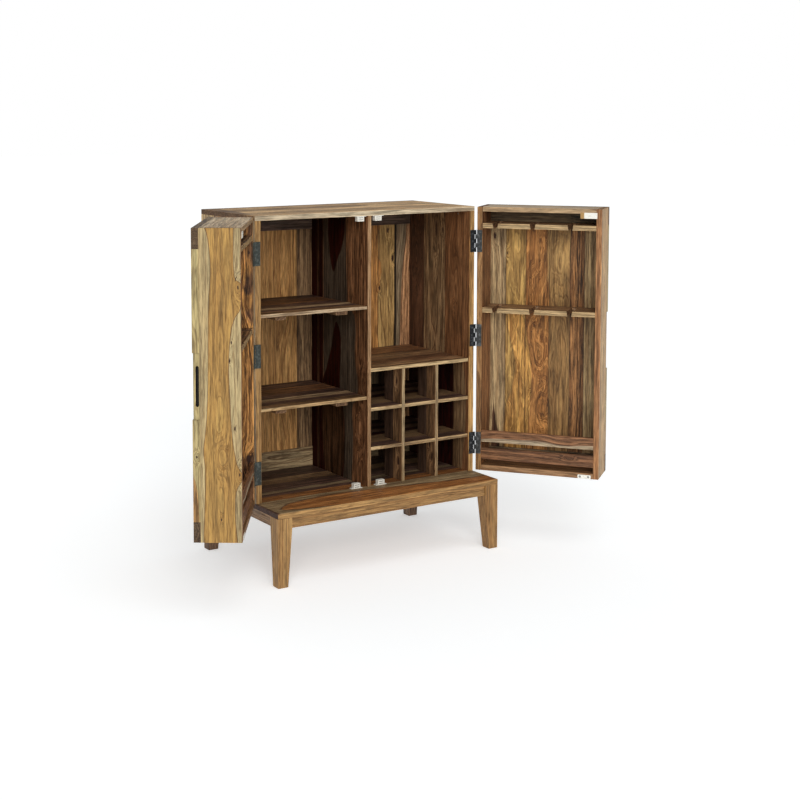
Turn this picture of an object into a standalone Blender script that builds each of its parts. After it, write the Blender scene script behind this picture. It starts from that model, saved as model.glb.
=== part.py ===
"""A bar cabinet in solid figured hardwood, standing open.

A case with shelves and a nine-cell bottle rack stands on a legged base. Two deep tray doors swing on
butt hinges at its front corners. Each door holds two slotted glass racks and a pair of bottle rails.
Inside the script, x runs from the case's left side to its right, y from its front edge to its back,
and z up from the floor. The cabinet empty then carries all of it, so that the world's origin lies on
the floor under the middle of the box that the open cabinet fills.
"""

import math

import bmesh
import bpy
from mathutils import Vector

# How the pieces meet: the gap where they touch, how far a cutter overruns, and how round an edge is.
CONTACT_GAP = 0.0003
OVERRUN = 0.002
EASED_EDGE = 0.0010
EASED_STEPS = 2
ROUND_SIDES = 20
SHARP_ANGLE = math.radians(30)

# The case: its outside, measured without the base and the doors.
CASE_WIDTH = 0.914
CASE_DEPTH = 0.400
CASE_HEIGHT = 0.983
CASE_TOP_THICKNESS = 0.017
CASE_SIDE_THICKNESS = 0.0215
DIVIDER_THICKNESS = 0.014

# The back: rails across the top and bottom, thinner boards between them, and an open joint with a lip
# behind it.
BACK_RAIL_HEIGHT = 0.072
BACK_RAIL_THICKNESS = 0.016
BACK_BOARD_THICKNESS = 0.012
BACK_JOINT_WIDTH = 0.008
BACK_LIP_THICKNESS = 0.004
BACK_NARROW_BOARD_WIDTH = 0.062

# The left bay's shelves, measured from the floor of the case to each shelf's upper face.
SHELF_THICKNESS = 0.011
SHELF_SETBACK = 0.004
SHELF_UPPER_HEIGHT = 0.647
SHELF_LOWER_HEIGHT = 0.325

# The bottle rack in the right bay: a lid over boards, which cross uprights in half laps, front and rear.
RACK_HEIGHT = 0.423
RACK_LID_THICKNESS = 0.012
RACK_BOARD_THICKNESS = 0.012
RACK_UPRIGHT_DEPTH = 0.113
RACK_ROWS = 3
RACK_COLUMNS = 3
RACK_LAP_SHARE = 0.5

# The magnetic catches: a body on a flange that is screwed to the case.
CATCH_WIDTH = 0.027
CATCH_HEIGHT = 0.018
CATCH_DEPTH = 0.016
CATCH_FLANGE_WIDTH = 0.045
CATCH_FLANGE_THICKNESS = 0.0016
CATCH_TOP_OFFSET = 0.0365
CATCH_BOTTOM_OFFSET = 0.051

# The base: a board that runs out under the closed doors, on four tapered legs and four aprons.
BASE_DEPTH = 0.551
BASE_HEIGHT = 0.2535
BASE_TOP_THICKNESS = 0.018
LEG_TOP_SIZE = 0.054
LEG_FOOT_SIZE = 0.038
APRON_HEIGHT = 0.037
APRON_THICKNESS = 0.018
APRON_RECESS = 0.006

# The doors: open trays whose fronts lie flush at the free edge.
DOOR_DEPTH = 0.152
DOOR_FRONT_THICKNESS = 0.022
DOOR_SIDE_THICKNESS = 0.020
DOOR_TOP_THICKNESS = 0.017
DOOR_BOTTOM_THICKNESS = 0.020
DOOR_MEETING_GAP = 0.003
DOOR_TOP_REVEAL = 0.002
DOOR_BOTTOM_REVEAL = 0.003
LEFT_DOOR_OPENING = 123.3
RIGHT_DOOR_OPENING = 128.6

# The handle: the free edge is cut back, the face is sunk, and a slot lets fingers hook behind the face.
HANDLE_LENGTH = 0.208
HANDLE_SET_BACK = 0.006
HANDLE_FACE_WIDTH = 0.026
HANDLE_FACE_SINK = 0.003
FINGER_SLOT_LENGTH = 0.127
FINGER_SLOT_WIDTH = 0.010
FINGER_SLOT_DEPTH = 0.018
FINGER_LIP = 0.010

# The glass racks: the upper board's top is measured down from the ceiling of the door's tray, the lower
# board's down from the upper one's, and the first slot's middle from the inside of the tray's hinge side.
GLASS_RACK_DROP = 0.043
GLASS_RACK_SPACING = 0.311
GLASS_RACK_THICKNESS = 0.018
GLASS_RACK_SETBACK = 0.002
GLASS_SLOTS = 3
GLASS_SLOT_FIRST = 0.047
GLASS_SLOT_PITCH = 0.1375
GLASS_SLOT_LENGTH = 0.104
GLASS_SLOT_WIDTH_BELOW = 0.014
GLASS_SLOT_WIDTH_ABOVE = 0.021

# The bottle rails: each rail's lower edge is measured from the floor of the door's tray.
BOTTLE_RAIL_HEIGHT = 0.043
BOTTLE_RAIL_THICKNESS = 0.012
BOTTLE_RAIL_SETBACK = 0.002
BOTTLE_RAIL_LOWER_RISE = 0.022
BOTTLE_RAIL_UPPER_RISE = 0.087

# The butt hinges: their leaves lie between the case's front edge and the door, the pins outside. The top
# hinge's middle is measured down from the cabinet's top, the other two up from the base.
HINGE_HEIGHT = 0.081
HINGE_LEAF_WIDTH = 0.0195
HINGE_LEAF_THICKNESS = 0.0016
HINGE_LEAF_CLEARANCE = 0.0005
HINGE_PIN_OFFSET = 0.0044
HINGE_PIN_RADIUS = 0.0012
HINGE_PIN_CLEARANCE = 0.0001
HINGE_KNUCKLE_RADIUS = 0.0024
HINGE_KNUCKLE_CLEARANCE = 0.0004
HINGE_KNUCKLES = 5
HINGE_TOP_DROP = 0.1275
HINGE_MIDDLE_RISE = 0.5075
HINGE_BOTTOM_RISE = 0.1055

# Sizes that follow from the ones above.
HEIGHT = BASE_HEIGHT + CASE_HEIGHT
CASE_CEILING = HEIGHT - CASE_TOP_THICKNESS
BAY_LEFT = CASE_SIDE_THICKNESS
BAY_RIGHT = CASE_WIDTH - CASE_SIDE_THICKNESS
DIVIDER_LEFT = (CASE_WIDTH - DIVIDER_THICKNESS) / 2
DIVIDER_RIGHT = DIVIDER_LEFT + DIVIDER_THICKNESS
BACK_FACE = CASE_DEPTH - BACK_BOARD_THICKNESS
BASE_FRONT = CASE_DEPTH - BASE_DEPTH
DOOR_GAP = 2 * (HINGE_LEAF_THICKNESS + CONTACT_GAP) + HINGE_LEAF_CLEARANCE
DOOR_WIDTH = (CASE_WIDTH - DOOR_MEETING_GAP) / 2
HINGE_BORE_RADIUS = HINGE_PIN_RADIUS + HINGE_PIN_CLEARANCE
DOOR_LOW = BASE_HEIGHT + DOOR_BOTTOM_REVEAL
DOOR_HIGH = HEIGHT - DOOR_TOP_REVEAL
TRAY_FLOOR = DOOR_LOW + DOOR_BOTTOM_THICKNESS
TRAY_CEILING = DOOR_HIGH - DOOR_TOP_THICKNESS
TRAY_MOUTH = -DOOR_GAP / 2
TRAY_BACK = TRAY_MOUTH - DOOR_DEPTH + DOOR_FRONT_THICKNESS

# Colour, roughness and metallic value of each finish.
GOLDEN = ((0.47, 0.28, 0.11), 0.42, 0.0)
CREAM = ((0.60, 0.42, 0.21), 0.45, 0.0)
HONEY = ((0.40, 0.23, 0.08), 0.42, 0.0)
BROWN = ((0.19, 0.085, 0.033), 0.42, 0.0)
DARK = ((0.105, 0.047, 0.025), 0.42, 0.0)
RED_BROWN = ((0.26, 0.092, 0.032), 0.42, 0.0)
GREY_TAN = ((0.30, 0.21, 0.125), 0.48, 0.0)
BLACK_STEEL = ((0.026, 0.031, 0.034), 0.45, 0.8)
WHITE_PLASTIC = ((0.80, 0.80, 0.77), 0.40, 0.0)


def finish(name, tone):
    colour, roughness, metallic = tone
    material = bpy.data.materials.new(f"{name}_finish")
    material.use_nodes = True
    shader = material.node_tree.nodes["Principled BSDF"]
    shader.inputs["Base Color"].default_value = (*colour, 1.0)
    shader.inputs["Roughness"].default_value = roughness
    shader.inputs["Metallic"].default_value = metallic
    material.diffuse_color = (*colour, 1.0)
    return material


def add_piece(name, mesh, place, parent, tone):
    """Links a mesh as one named piece with a finish of its own."""
    piece = bpy.data.objects.new(name, mesh)
    bpy.context.scene.collection.objects.link(piece)
    piece.location = place
    piece.parent = parent
    piece.data.materials.append(finish(name, tone))
    return piece


def add_cutter(name, mesh, place, parent):
    """Links a helper that only shapes other pieces."""
    cutter = bpy.data.objects.new(name, mesh)
    bpy.context.scene.collection.objects.link(cutter)
    cutter.location = place
    cutter.parent = parent
    cutter.hide_render = True
    cutter.display_type = "WIRE"
    return cutter


def ease_edges(piece):
    """Takes the sharpness off every edge, as sandpaper would."""
    bevel = piece.modifiers.new("eased_edges", "BEVEL")
    bevel.width = EASED_EDGE
    bevel.segments = EASED_STEPS
    bevel.limit_method = "ANGLE"


def combine(piece, other, operation):
    """Adds a Boolean that joins the other shape to the piece, or cuts it away."""
    boolean = piece.modifiers.new(other.name, "BOOLEAN")
    boolean.object = other
    boolean.operation = operation
    boolean.solver = "EXACT"


def loft_mesh(name, rings, centre=None):
    """Joins rings of equally many points into one closed skin, and returns it with its origin's place."""
    points = [Vector(point) for ring in rings for point in ring]
    if centre is None:
        low = Vector([min(point[axis] for point in points) for axis in range(3)])
        high = Vector([max(point[axis] for point in points) for axis in range(3)])
        centre = (low + high) / 2
    shape = bmesh.new()
    loops = [[shape.verts.new(Vector(point) - centre) for point in ring] for ring in rings]
    shape.faces.new(loops[0])
    shape.faces.new(loops[-1])
    for loop, following in zip(loops, loops[1:]):
        for index in range(len(loop)):
            before = index - 1
            shape.faces.new((loop[before], loop[index], following[index], following[before]))
    bmesh.ops.recalc_face_normals(shape, faces=shape.faces)
    mesh = bpy.data.meshes.new(name)
    shape.to_mesh(mesh)
    shape.free()
    return mesh, centre


def along_x(outline, x):
    return [(x, y, z) for y, z in outline]


def along_y(outline, y):
    return [(x, y, z) for x, z in outline]


def along_z(outline, z):
    return [(x, y, z) for x, y in outline]


def block_mesh(name, x, y, z):
    """A box. Each of x, y and z is the pair of places that it runs between."""
    outline = [(x[0], y[0]), (x[1], y[0]), (x[1], y[1]), (x[0], y[1])]
    return loft_mesh(name, [along_z(outline, z[0]), along_z(outline, z[1])])


def add_board(name, x, y, z, parent, tone):
    """A plain board with eased edges, between pairs of places as in block_mesh."""
    mesh, centre = block_mesh(name, x, y, z)
    ease_edges(add_piece(name, mesh, centre, parent, tone))


def rods_mesh(name, radius, spans):
    """Upright round rods on one axis, each between its pair of heights."""
    shape = bmesh.new()
    for low, high in spans:
        made = bmesh.ops.create_cone(
            shape, cap_ends=True, segments=ROUND_SIDES, radius1=radius, radius2=radius, depth=high - low
        )
        bmesh.ops.translate(shape, vec=(0, 0, (low + high) / 2), verts=made["verts"])
    mesh = bpy.data.meshes.new(name)
    shape.to_mesh(mesh)
    shape.free()
    return mesh


def add_case(cabinet):
    """The box: sides that stand on the base, the top over them, and the divider between the bays."""
    stand = BASE_HEIGHT + CONTACT_GAP
    ceiling = CASE_CEILING - CONTACT_GAP
    depth = (0, CASE_DEPTH)
    add_board("case_top", (0, CASE_WIDTH), depth, (CASE_CEILING, HEIGHT), cabinet, GOLDEN)
    add_board("case_side_left", (0, BAY_LEFT), depth, (stand, ceiling), cabinet, GOLDEN)
    add_board("case_side_right", (BAY_RIGHT, CASE_WIDTH), depth, (stand, ceiling), cabinet, HONEY)

    rail_face = CASE_DEPTH - BACK_RAIL_THICKNESS - CONTACT_GAP
    board_face = BACK_FACE - CONTACT_GAP
    rail_low = BASE_HEIGHT + BACK_RAIL_HEIGHT + CONTACT_GAP
    rail_high = CASE_CEILING - BACK_RAIL_HEIGHT - CONTACT_GAP
    outline = [
        (0, stand),
        (rail_face, stand),
        (rail_face, rail_low),
        (board_face, rail_low),
        (board_face, rail_high),
        (rail_face, rail_high),
        (rail_face, ceiling),
        (0, ceiling),
    ]
    rings = [along_x(outline, DIVIDER_LEFT), along_x(outline, DIVIDER_RIGHT)]
    mesh, centre = loft_mesh("centre_divider", rings)
    ease_edges(add_piece("centre_divider", mesh, centre, cabinet, DARK))


def add_back(cabinet):
    """Two rails with two boards between them. The narrow board's lip closes their joint from behind."""
    width = (BAY_LEFT + CONTACT_GAP, BAY_RIGHT - CONTACT_GAP)
    rail_depth = (CASE_DEPTH - BACK_RAIL_THICKNESS, CASE_DEPTH)
    rail_top = (CASE_CEILING - BACK_RAIL_HEIGHT, CASE_CEILING - CONTACT_GAP)
    rail_bottom = (BASE_HEIGHT + CONTACT_GAP, BASE_HEIGHT + BACK_RAIL_HEIGHT)
    add_board("back_rail_top", width, rail_depth, rail_top, cabinet, DARK)
    add_board("back_rail_bottom", width, rail_depth, rail_bottom, cabinet, GREY_TAN)

    board_depth = (BACK_FACE, CASE_DEPTH)
    board_height = (rail_bottom[1] + CONTACT_GAP, rail_top[0] - CONTACT_GAP)
    joint = width[1] - BACK_NARROW_BOARD_WIDTH
    wide_board = (width[0], joint - BACK_JOINT_WIDTH)
    add_board("back_board_wide", wide_board, board_depth, board_height, cabinet, HONEY)

    lip_face = CASE_DEPTH - BACK_LIP_THICKNESS
    lip_edge = wide_board[1] + CONTACT_GAP
    outline = [
        (joint, BACK_FACE),
        (width[1], BACK_FACE),
        (width[1], CASE_DEPTH),
        (lip_edge, CASE_DEPTH),
        (lip_edge, lip_face),
        (joint, lip_face),
    ]
    rings = [along_z(outline, board_height[0]), along_z(outline, board_height[1])]
    mesh, centre = loft_mesh("back_board_narrow", rings)
    ease_edges(add_piece("back_board_narrow", mesh, centre, cabinet, GREY_TAN))


def add_shelves(cabinet):
    """The left bay's two fixed shelves."""
    width = (BAY_LEFT + CONTACT_GAP, DIVIDER_LEFT - CONTACT_GAP)
    depth = (SHELF_SETBACK, BACK_FACE - CONTACT_GAP)
    for name, height in (("shelf_upper", SHELF_UPPER_HEIGHT), ("shelf_lower", SHELF_LOWER_HEIGHT)):
        upper_face = BASE_HEIGHT + height
        add_board(name, width, depth, (upper_face - SHELF_THICKNESS, upper_face), cabinet, BROWN)


def evenly_between(low, high, count, thickness):
    """The lower faces of count - 1 boards that part a space into equal cells."""
    cell = (high - low - (count - 1) * thickness) / count
    return [low + index * (cell + thickness) - thickness for index in range(1, count)]


def notches(edge, far_edge, spans, depth, backwards=False):
    """Points that notch an edge: each span is a pair of places along it."""
    inward = math.copysign(depth, far_edge - edge)
    points = []
    for low, high in spans:
        points += [(edge, low), (edge + inward, low), (edge + inward, high), (edge, high)]
    return points[::-1] if backwards else points


def add_bottle_rack(cabinet):
    """A lid board over nine cells. Uprights cross the boards in half laps, in front and at the rear."""
    width = (DIVIDER_RIGHT + CONTACT_GAP, BAY_RIGHT - CONTACT_GAP)
    lid_face = BASE_HEIGHT + RACK_HEIGHT
    lid_underside = lid_face - RACK_LID_THICKNESS
    front = SHELF_SETBACK
    depth = (front, BACK_FACE - CONTACT_GAP)
    add_board("bottle_rack_lid", width, depth, (lid_underside, lid_face), cabinet, BROWN)

    # Below the lid, the rack ends at the bottom rail of the back.
    rear = CASE_DEPTH - BACK_RAIL_THICKNESS - CONTACT_GAP
    thickness = RACK_BOARD_THICKNESS
    levels = evenly_between(BASE_HEIGHT, lid_underside, RACK_ROWS, thickness)
    columns = evenly_between(DIVIDER_RIGHT, BAY_RIGHT, RACK_COLUMNS, thickness)
    lap = RACK_UPRIGHT_DEPTH * RACK_LAP_SHARE + CONTACT_GAP / 2

    spans = [(place - CONTACT_GAP, place + thickness + CONTACT_GAP) for place in columns]
    outline = [(front, width[0]), *notches(front, rear, spans, lap), (front, width[1])]
    outline += [(rear, width[1]), *notches(rear, front, spans, lap, backwards=True), (rear, width[0])]
    outline = [(x, y) for y, x in outline]
    for number, level in enumerate(levels, 1):
        name = f"bottle_rack_board_{number}"
        mesh, centre = loft_mesh(name, [along_z(outline, level), along_z(outline, level + thickness)])
        ease_edges(add_piece(name, mesh, centre, cabinet, CREAM))

    spans = [(level - CONTACT_GAP, level + thickness + CONTACT_GAP) for level in levels]
    foot, head = BASE_HEIGHT + CONTACT_GAP, lid_underside - CONTACT_GAP
    rows = (
        ("front", front, front + RACK_UPRIGHT_DEPTH),
        ("rear", rear, rear - RACK_UPRIGHT_DEPTH),
    )
    for row, outer_edge, inner_edge in rows:
        outline = [(inner_edge, foot), *notches(inner_edge, outer_edge, spans, lap), (inner_edge, head)]
        outline += [(outer_edge, head), (outer_edge, foot)]
        for number, place in enumerate(columns, 1):
            name = f"bottle_rack_{row}_upright_{number}"
            mesh, centre = loft_mesh(name, [along_x(outline, place), along_x(outline, place + thickness)])
            ease_edges(add_piece(name, mesh, centre, cabinet, CREAM))


def add_catches(cabinet):
    """Four magnetic catches, two under the case's top and two on its floor."""
    half_body = CATCH_WIDTH / 2
    half_flange = CATCH_FLANGE_WIDTH / 2
    rows = (
        ("top", CASE_CEILING - CONTACT_GAP, -1, CATCH_TOP_OFFSET),
        ("bottom", BASE_HEIGHT + CONTACT_GAP, 1, CATCH_BOTTOM_OFFSET),
    )
    for row, seat, away, offset in rows:
        flange = seat + away * CATCH_FLANGE_THICKNESS
        face = seat + away * CATCH_HEIGHT
        for side, sign in (("left", -1), ("right", 1)):
            middle = CASE_WIDTH / 2 + sign * offset
            outline = [
                (middle - half_flange, seat),
                (middle + half_flange, seat),
                (middle + half_flange, flange),
                (middle + half_body, flange),
                (middle + half_body, face),
                (middle - half_body, face),
                (middle - half_body, flange),
                (middle - half_flange, flange),
            ]
            name = f"catch_{row}_{side}"
            mesh, centre = loft_mesh(name, [along_y(outline, 0), along_y(outline, CATCH_DEPTH)])
            add_piece(name, mesh, centre, cabinet, WHITE_PLASTIC)


def add_base(cabinet):
    """The base board, which is also the floor of the case, with its legs and aprons."""
    underside = BASE_HEIGHT - BASE_TOP_THICKNESS
    board_height = (underside, BASE_HEIGHT)
    add_board("base_top", (0, CASE_WIDTH), (BASE_FRONT, CASE_DEPTH), board_height, cabinet, RED_BROWN)

    leg_top = underside - CONTACT_GAP
    knee = underside - APRON_HEIGHT
    corners = (
        ("leg_front_left", 0, 1, BASE_FRONT, 1),
        ("leg_front_right", CASE_WIDTH, -1, BASE_FRONT, 1),
        ("leg_back_left", 0, 1, CASE_DEPTH, -1),
        ("leg_back_right", CASE_WIDTH, -1, CASE_DEPTH, -1),
    )
    for name, x, inward_x, y, inward_y in corners:
        rings = []
        for size, height in ((LEG_FOOT_SIZE, 0), (LEG_TOP_SIZE, knee), (LEG_TOP_SIZE, leg_top)):
            inner_x = x + inward_x * size
            inner_y = y + inward_y * size
            outline = [(x, y), (inner_x, y), (inner_x, inner_y), (x, inner_y)]
            rings.append(along_z(outline, height))
        mesh, centre = loft_mesh(name, rings)
        ease_edges(add_piece(name, mesh, centre, cabinet, GOLDEN))

    height = (knee, leg_top)
    shoulder = LEG_TOP_SIZE + CONTACT_GAP
    across = (shoulder, CASE_WIDTH - shoulder)
    lengthwise = (BASE_FRONT + shoulder, CASE_DEPTH - shoulder)
    outer = APRON_RECESS
    inner = APRON_RECESS + APRON_THICKNESS
    front = (BASE_FRONT + outer, BASE_FRONT + inner)
    back = (CASE_DEPTH - inner, CASE_DEPTH - outer)
    add_board("apron_front", across, front, height, cabinet, GOLDEN)
    add_board("apron_back", across, back, height, cabinet, GOLDEN)
    add_board("apron_left", (outer, inner), lengthwise, height, cabinet, GOLDEN)
    add_board("apron_right", (CASE_WIDTH - inner, CASE_WIDTH - outer), lengthwise, height, cabinet, GOLDEN)


def knuckle_span(index):
    """The heights between which a knuckle runs, about the hinge's middle. Neighbours keep a clearance."""
    pitch = HINGE_HEIGHT / HINGE_KNUCKLES
    low = index * pitch - HINGE_HEIGHT / 2
    high = low + pitch
    if index > 0:
        low += HINGE_KNUCKLE_CLEARANCE / 2
    if index < HINGE_KNUCKLES - 1:
        high -= HINGE_KNUCKLE_CLEARANCE / 2
    return low, high


def comb_outline(knuckles):
    """A hinge leaf seen square on: a plate, with a tab that reaches the pin at each of its knuckles."""
    half = HINGE_HEIGHT / 2
    near = HINGE_PIN_OFFSET
    far = HINGE_PIN_OFFSET + HINGE_LEAF_WIDTH
    points = [(far, half), (far, -half)]
    for low, high in knuckles:
        if low > -half:
            points.append((near, low if points[-1][0] == near else -half))
            points.append((near, low))
        points += [(0, low), (0, high), (near, high)]
    if points[-1] != (near, half):
        points.append((near, half))
    return points


def shaped_mesh(name, base, *steps):
    """Runs Booleans on a throwaway object and keeps only the resulting mesh."""
    pattern = add_cutter(f"{name}_pattern", base, (0, 0, 0), None)
    helpers = [pattern]
    for operation, other in steps:
        helper = add_cutter(other.name, other, (0, 0, 0), None)
        combine(pattern, helper, operation)
        helpers.append(helper)
    bpy.context.view_layer.update()
    evaluated = pattern.evaluated_get(bpy.context.evaluated_depsgraph_get())
    mesh = bpy.data.meshes.new_from_object(evaluated)
    mesh.name = name
    mesh.shade_smooth()
    mesh.set_sharp_from_angle(angle=SHARP_ANGLE)
    for helper in helpers:
        bpy.data.objects.remove(helper)
    return mesh


def case_leaf_mesh():
    """The leaf on the case. The pin is fixed in its knuckles."""
    knuckles = [knuckle_span(index) for index in range(0, HINGE_KNUCKLES, 2)]
    inner_face = HINGE_LEAF_CLEARANCE / 2
    outline = comb_outline(knuckles)
    rings = [along_y(outline, inner_face), along_y(outline, inner_face + HINGE_LEAF_THICKNESS)]
    plate, _ = loft_mesh("case_leaf_plate", rings, Vector())
    barrels = rods_mesh("case_leaf_barrels", HINGE_KNUCKLE_RADIUS, knuckles)
    pin = rods_mesh("case_leaf_pin", HINGE_PIN_RADIUS, [(-HINGE_HEIGHT / 2, HINGE_HEIGHT / 2)])
    return shaped_mesh("case_leaf", plate, ("UNION", barrels), ("UNION", pin))


def door_leaf_mesh():
    """The leaf on the door. Its knuckles are bored for the pin."""
    knuckles = [knuckle_span(index) for index in range(1, HINGE_KNUCKLES, 2)]
    inner_face = -HINGE_LEAF_CLEARANCE / 2
    outline = comb_outline(knuckles)
    rings = [along_y(outline, inner_face - HINGE_LEAF_THICKNESS), along_y(outline, inner_face)]
    plate, _ = loft_mesh("door_leaf_plate", rings, Vector())
    barrels = rods_mesh("door_leaf_barrels", HINGE_KNUCKLE_RADIUS, knuckles)
    bore = rods_mesh("door_leaf_bore", HINGE_BORE_RADIUS, [(-HINGE_HEIGHT / 2, HINGE_HEIGHT / 2)])
    return shaped_mesh("door_leaf", plate, ("UNION", barrels), ("DIFFERENCE", bore))


def add_leaves(side, mirrored, mesh, kind, pin_place, parent):
    """Three leaves of one door. A leaf turned half round about y is its own mirror image."""
    heights = (HEIGHT - HINGE_TOP_DROP, BASE_HEIGHT + HINGE_MIDDLE_RISE, BASE_HEIGHT + HINGE_BOTTOM_RISE)
    for number, height in enumerate(heights, 1):
        name = f"{side}_hinge_{number}_{kind}"
        leaf = add_piece(name, mesh.copy(), (pin_place[0], pin_place[1], height), parent, BLACK_STEEL)
        if mirrored:
            leaf.rotation_euler[1] = math.pi


def add_tray(side, across, door):
    """The tray behind a door's front: two sides, a top and a bottom between them."""
    depth = (TRAY_BACK + CONTACT_GAP, TRAY_MOUTH)
    height = (DOOR_LOW, DOOR_HIGH)
    hinge_side = across(0, DOOR_SIDE_THICKNESS)
    free_side = across(DOOR_WIDTH - DOOR_SIDE_THICKNESS, DOOR_WIDTH)
    between = across(DOOR_SIDE_THICKNESS + CONTACT_GAP, DOOR_WIDTH - DOOR_SIDE_THICKNESS - CONTACT_GAP)
    top = (TRAY_CEILING, DOOR_HIGH)
    bottom = (DOOR_LOW, TRAY_FLOOR)
    add_board(f"{side}_door_hinge_side", hinge_side, depth, height, door, BROWN)
    add_board(f"{side}_door_free_side", free_side, depth, height, door, GOLDEN)
    add_board(f"{side}_door_top", between, depth, top, door, GREY_TAN)
    add_board(f"{side}_door_bottom", between, depth, bottom, door, RED_BROWN)


def rounded_slot(middle, half_width, low, high):
    """An upright slot with round ends, as points of y and z."""
    points = []
    for turn, centre in ((0, high - half_width), (math.pi, low + half_width)):
        for step in range(ROUND_SIDES + 1):
            angle = turn + math.pi * step / ROUND_SIDES
            points.append((middle + half_width * math.cos(angle), centre + half_width * math.sin(angle)))
    return points


def add_front(side, across, door):
    """The door's front board, with the handle cut into its free edge."""
    outer_face = TRAY_MOUTH - DOOR_DEPTH
    depth = (outer_face, TRAY_BACK)
    height = (DOOR_LOW, DOOR_HIGH)
    mesh, centre = block_mesh(f"{side}_door_front", across(0, DOOR_WIDTH), depth, height)
    front = add_piece(f"{side}_door_front", mesh, centre, door, GOLDEN)

    middle = (DOOR_LOW + DOOR_HIGH) / 2
    grip = (middle - HANDLE_LENGTH / 2, middle + HANDLE_LENGTH / 2)
    grip_edge = DOOR_WIDTH - HANDLE_SET_BACK
    cuts = (
        ("edge", across(grip_edge, DOOR_WIDTH + OVERRUN), (outer_face - OVERRUN, TRAY_BACK + OVERRUN)),
        (
            "face",
            across(DOOR_WIDTH - HANDLE_FACE_WIDTH, DOOR_WIDTH + OVERRUN),
            (outer_face - OVERRUN, outer_face + HANDLE_FACE_SINK),
        ),
    )
    for cut, x, y in cuts:
        cutter_mesh, centre = block_mesh(f"{side}_handle_{cut}", x, y, grip)
        cutter = add_cutter(f"{side}_handle_{cut}_cutter", cutter_mesh, centre, door)
        combine(front, cutter, "DIFFERENCE")

    slot_middle = outer_face + FINGER_LIP + FINGER_SLOT_WIDTH / 2
    low = middle - FINGER_SLOT_LENGTH / 2
    outline = rounded_slot(slot_middle, FINGER_SLOT_WIDTH / 2, low, low + FINGER_SLOT_LENGTH)
    ends = across(grip_edge - FINGER_SLOT_DEPTH, DOOR_WIDTH + OVERRUN)
    cutter_mesh, centre = loft_mesh(f"{side}_finger_slot", [along_x(outline, x) for x in ends])
    cutter = add_cutter(f"{side}_finger_slot_cutter", cutter_mesh, centre, door)
    combine(front, cutter, "DIFFERENCE")
    ease_edges(front)


def glass_rack_outline(half_width):
    """A board with slots from its front edge, as distances from the hinge side and places in y."""
    near = DOOR_SIDE_THICKNESS + CONTACT_GAP
    far = DOOR_WIDTH - DOOR_SIDE_THICKNESS - CONTACT_GAP
    edge = TRAY_MOUTH - GLASS_RACK_SETBACK
    arc_centre = edge - GLASS_SLOT_LENGTH + GLASS_SLOT_WIDTH_BELOW / 2
    points = [(near, edge)]
    for slot in range(GLASS_SLOTS):
        middle = DOOR_SIDE_THICKNESS + GLASS_SLOT_FIRST + slot * GLASS_SLOT_PITCH
        points.append((middle - half_width, edge))
        for step in range(ROUND_SIDES // 2 + 1):
            angle = math.pi + math.pi * step / (ROUND_SIDES // 2)
            points.append((middle + half_width * math.cos(angle), arc_centre + half_width * math.sin(angle)))
        points.append((middle + half_width, edge))
    points += [(far, edge), (far, TRAY_BACK + CONTACT_GAP), (near, TRAY_BACK + CONTACT_GAP)]
    return points


def add_glass_racks(side, across, door):
    """Two slotted boards. A glass hangs by its foot, and each slot is wider above than below."""
    upper_row = TRAY_CEILING - GLASS_RACK_DROP
    for row, upper_face in (("upper", upper_row), ("lower", upper_row - GLASS_RACK_SPACING)):
        name = f"{side}_door_glass_rack_{row}"
        levels = (
            (upper_face - GLASS_RACK_THICKNESS, GLASS_SLOT_WIDTH_BELOW / 2),
            (upper_face, GLASS_SLOT_WIDTH_ABOVE / 2),
        )
        rings = []
        for height, half_width in levels:
            outline = [(across(u, u)[0], y) for u, y in glass_rack_outline(half_width)]
            rings.append(along_z(outline, height))
        mesh, centre = loft_mesh(name, rings)
        ease_edges(add_piece(name, mesh, centre, door, RED_BROWN))


def add_bottle_rails(side, across, door):
    """Two rails across the tray's mouth, which keep bottles in."""
    between = across(DOOR_SIDE_THICKNESS + CONTACT_GAP, DOOR_WIDTH - DOOR_SIDE_THICKNESS - CONTACT_GAP)
    face = TRAY_MOUTH - BOTTLE_RAIL_SETBACK
    for row, rise in (("upper", BOTTLE_RAIL_UPPER_RISE), ("lower", BOTTLE_RAIL_LOWER_RISE)):
        low = TRAY_FLOOR + rise
        height = (low, low + BOTTLE_RAIL_HEIGHT)
        depth = (face - BOTTLE_RAIL_THICKNESS, face)
        add_board(f"{side}_door_bottle_rail_{row}", between, depth, height, door, RED_BROWN)


def door_reach(opening):
    """How far an open door's free corners reach, outwards and forwards from its pin."""
    swing = math.radians(opening)
    free_edge = HINGE_PIN_OFFSET + DOOR_WIDTH
    outwards = []
    forwards = []
    for depth in (-TRAY_MOUTH, DOOR_DEPTH - TRAY_MOUTH):
        outwards.append(depth * math.sin(swing) - free_edge * math.cos(swing))
        forwards.append(depth * math.cos(swing) + free_edge * math.sin(swing))
    return max(outwards), max(forwards)


def middle_of_the_whole():
    """The middle of the box that the open cabinet fills, seen from above."""
    left_out, left_forward = door_reach(LEFT_DOOR_OPENING)
    right_out, right_forward = door_reach(RIGHT_DOOR_OPENING)
    left_end = -HINGE_PIN_OFFSET - left_out
    right_end = CASE_WIDTH + HINGE_PIN_OFFSET + right_out
    front_end = min(TRAY_MOUTH - max(left_forward, right_forward), BASE_FRONT)
    return Vector(((left_end + right_end) / 2, (front_end + CASE_DEPTH) / 2, 0))


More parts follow.
